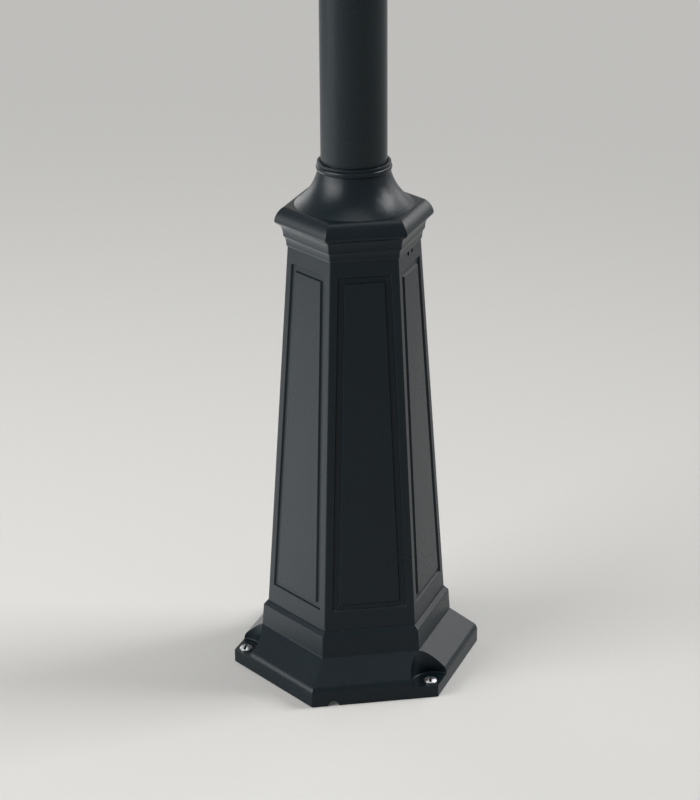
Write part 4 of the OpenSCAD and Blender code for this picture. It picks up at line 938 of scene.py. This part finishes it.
drum_mesh = softened_node("vent_drum", DRUM_EDGE, 2)
add_piece("drum", drum_mesh, casting_black, "roof", ["vent_drum"])
cap_outline = np.concatenate([
    rounded([(0, CAP_LIP_LOW), (CAP_REACH, CAP_LIP_LOW), (CAP_REACH, CAP_LIP_LOW + CAP_LIP)],
            [0, CAP_ROUND, 0], 4)[:-1],
    [(CAP_REACH, CAP_LIP_LOW + CAP_LIP - CAP_STEP)],
    flare((CAP_REACH - CAP_SHELF, CAP_LIP_LOW + CAP_LIP), (CAP_HUB, CAP_TOP), *ROOF_SLOPES,
          steps=36),
    [(0, CAP_TOP)]])
drum_room = turned(
    bar_profile(DRUM_RADIUS + DRUM_PLAY, CAP_LIP_LOW - PAST, CAP_LIP_LOW + CAP_LAP), 96)
stud_hole = turned(bar_profile(STUD_HOLE, CAP_LIP_LOW, CAP_TOP + PAST), 24)
drum_cap_mesh = carved(grid_mesh([mitred(cap_outline, CAP_CORNER)]), [
    ("DIFFERENCE", grid_mesh([drum_room])),
    ("DIFFERENCE", grid_mesh([stud_hole])),
])
add_piece("drum_cap", drum_cap_mesh, casting_black, "roof", ["vent_cap"])

# ---- Finial and stud ----
# A turned finial screws down on the stud that holds the cap: a flared foot, a thin neck, a ball and
# a drawn-out point. The stud and its nut are zinc-plated steel.
FINIAL_LOW, FINIAL_HIGH = (corner.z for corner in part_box("finial"))
BALL_RADIUS, FINIAL_NECK, FINIAL_TIP = 0.013, 0.005, 0.001
FINIAL_FOOT = CAP_HUB * APOTHEM_SHARE
STUD_DEPTH, STUD_BORE = 0.021, 0.0031
POINT_DROP = 0.0006
FOOT_SLOPES = (math.radians(38), math.radians(88))
POINT_SLOPES = (math.radians(60), math.radians(86))

finial_neck_height = FINIAL_LOW + (FINIAL_HIGH - FINIAL_LOW) / 4
neck_turn = math.asin(FINIAL_NECK / BALL_RADIUS)
finial_outline = np.concatenate([
    [(STUD_BORE, FINIAL_LOW), (FINIAL_FOOT, FINIAL_LOW)],
    flare((FINIAL_FOOT, FINIAL_LOW + FINIAL_TIP), (FINIAL_NECK, finial_neck_height), *FOOT_SLOPES),
    arc((0, finial_neck_height + BALL_RADIUS * math.cos(neck_turn)), BALL_RADIUS,
        math.degrees(neck_turn) - 90, 60, 40)[1:],
    flare((FINIAL_NECK, finial_neck_height + 2 * BALL_RADIUS),
          (FINIAL_TIP, FINIAL_HIGH - POINT_DROP), *POINT_SLOPES),
    arc((0, FINIAL_HIGH - FINIAL_TIP), FINIAL_TIP, 20, 90, 6)])
finial_bore = np.array([(0, FINIAL_LOW + STUD_DEPTH), (STUD_BORE, FINIAL_LOW + STUD_DEPTH)])
finial_grid = turned(np.concatenate([finial_bore, finial_outline]), 96)
finial_mesh = grid_mesh([finial_grid], closed=False)
add_piece("finial_point", finial_mesh, casting_black, "roof", ["finial"])
dress(zinc, "finial_stud", "stud_nut")

# ---- Floor, light and background ----
# A wide pale floor fades into a pale background. Soft lights at both sides pick out the side faces,
# a panel of light on the floor at the left stands in for the bright paper that the object mirrors,
# and the front, which sees only the floor before it, stays dark.
FLOOR_COLOUR = (0.68, 0.672, 0.651)
BACKDROP_COLOUR = (0.52, 0.515, 0.50)
FLOOR_HALF = 14.0
FLOOR_FADE = (0.5, 2.6)
FADE_CENTRE = (-0.9, -0.3, 0.0)
DIM_SKY = 0.05
GLOW_PLACE, GLOW_SIZE, GLOW_POWER = (-0.80, 0.36, 0.004), 1.3, 6.6
LIGHT_TARGET, LIGHT_DISTANCE, LIGHT_HEIGHT = (0, 0, 0.35), 4.0, 1.8


def seen_rays(nodes, links):
    """One for a ray from the camera, a reflection or a glass pane, and nought for the light that
    falls on surfaces."""
    rays = nodes.new("ShaderNodeLightPath")
    total = rays.outputs["Is Camera Ray"]
    for kind in ("Is Glossy Ray", "Is Transmission Ray"):
        add = nodes.new("ShaderNodeMath")
        add.operation, add.use_clamp = "ADD", True
        links.new(total, add.inputs[0])
        links.new(rays.outputs[kind], add.inputs[1])
        total = add.outputs["Value"]
    return total


floor_mesh = bpy.data.meshes.new("floor")
floor_mesh.from_pydata(
    [(-FLOOR_HALF, -FLOOR_HALF, 0), (FLOOR_HALF, -FLOOR_HALF, 0), (FLOOR_HALF, FLOOR_HALF, 0),
     (-FLOOR_HALF, FLOOR_HALF, 0)], [], [(0, 1, 2, 3)])
floor = add_object("floor", floor_mesh)
floor_paper = bpy.data.materials.new("floor_paper")
floor_paper.use_nodes = True
nodes, links = floor_paper.node_tree.nodes, floor_paper.node_tree.links
paper = set_inputs(nodes["Principled BSDF"], Base_Color=(*FLOOR_COLOUR, 1), Roughness=0.9,
                   Specular_IOR_Level=0.0)
far_paper = set_inputs(nodes.new("ShaderNodeEmission"), Color=(*BACKDROP_COLOUR, 1))
place = nodes.new("ShaderNodeTexCoord")
distance = nodes.new("ShaderNodeVectorMath")
distance.operation = "DISTANCE"
distance.inputs[1].default_value = FADE_CENTRE
fade = set_inputs(nodes.new("ShaderNodeMapRange"), From_Min=FLOOR_FADE[0], From_Max=FLOOR_FADE[1])
fade.interpolation_type = "SMOOTHSTEP"
share = nodes.new("ShaderNodeMath")
share.operation = "MULTIPLY"
blend = nodes.new("ShaderNodeMixShader")
links.new(place.outputs["Object"], distance.inputs[0])
links.new(distance.outputs["Value"], fade.inputs["Value"])
links.new(fade.outputs["Result"], share.inputs[0])
links.new(seen_rays(nodes, links), share.inputs[1])
links.new(share.outputs["Value"], blend.inputs[0])
links.new(paper.outputs["BSDF"], blend.inputs[1])
links.new(far_paper.outputs["Emission"], blend.inputs[2])
links.new(blend.outputs["Shader"], nodes["Material Output"].inputs["Surface"])
floor_mesh.materials.append(floor_paper)

world = bpy.data.worlds.new("studio")
world.use_nodes = True
nodes, links = world.node_tree.nodes, world.node_tree.links
sky = set_inputs(nodes["Background"], Color=(*BACKDROP_COLOUR, 1))
sky_strength = set_inputs(nodes.new("ShaderNodeMapRange"), To_Min=DIM_SKY / BACKDROP_COLOUR[1],
                          To_Max=1.0)
links.new(seen_rays(nodes, links), sky_strength.inputs["Value"])
links.new(sky_strength.outputs["Result"], sky.inputs["Strength"])
bpy.context.scene.world = world


def soft_light(name, azimuth, rise, width, power):
    """A soft light that looks at the pedestal's middle from an azimuth and an angle above it. It
    stands at target + distance (cos rise cos azimuth, cos rise sin azimuth, sin rise)."""
    lamp = bpy.data.lights.new(name, "AREA")
    lamp.shape, lamp.size, lamp.size_y, lamp.energy = "RECTANGLE", width, LIGHT_HEIGHT, power
    around, above = math.radians(azimuth), math.radians(rise)
    level = math.cos(above)
    away = Vector((level * math.cos(around), level * math.sin(around), math.sin(above)))
    obj = add_object(name, lamp)
    obj.location = Vector(LIGHT_TARGET) + LIGHT_DISTANCE * away
    obj.rotation_euler = away.to_track_quat("Z", "Y").to_euler()
    obj.visible_camera = obj.visible_transmission = False


soft_light("left_light", 198, 23, 2.8, 130)
soft_light("left_low_light", 178, 6, 2.6, 62)
soft_light("right_light", 0, 36, 1.7, 118)
soft_light("right_back_light", 30, 18, 2.6, 34)
soft_light("back_light", 110, 12, 2.6, 24)
soft_light("top_light", 0, 89, 2.6, 40)

glow_lamp = bpy.data.lights.new("floor_glow", "AREA")
glow_lamp.size, glow_lamp.energy = GLOW_SIZE, GLOW_POWER
glow = add_object("floor_glow", glow_lamp)
glow.location, glow.rotation_euler = GLOW_PLACE, (math.pi, 0, 0)
glow.visible_camera = glow.visible_transmission = False

bpy.context.scene.view_settings.view_transform = "Standard"
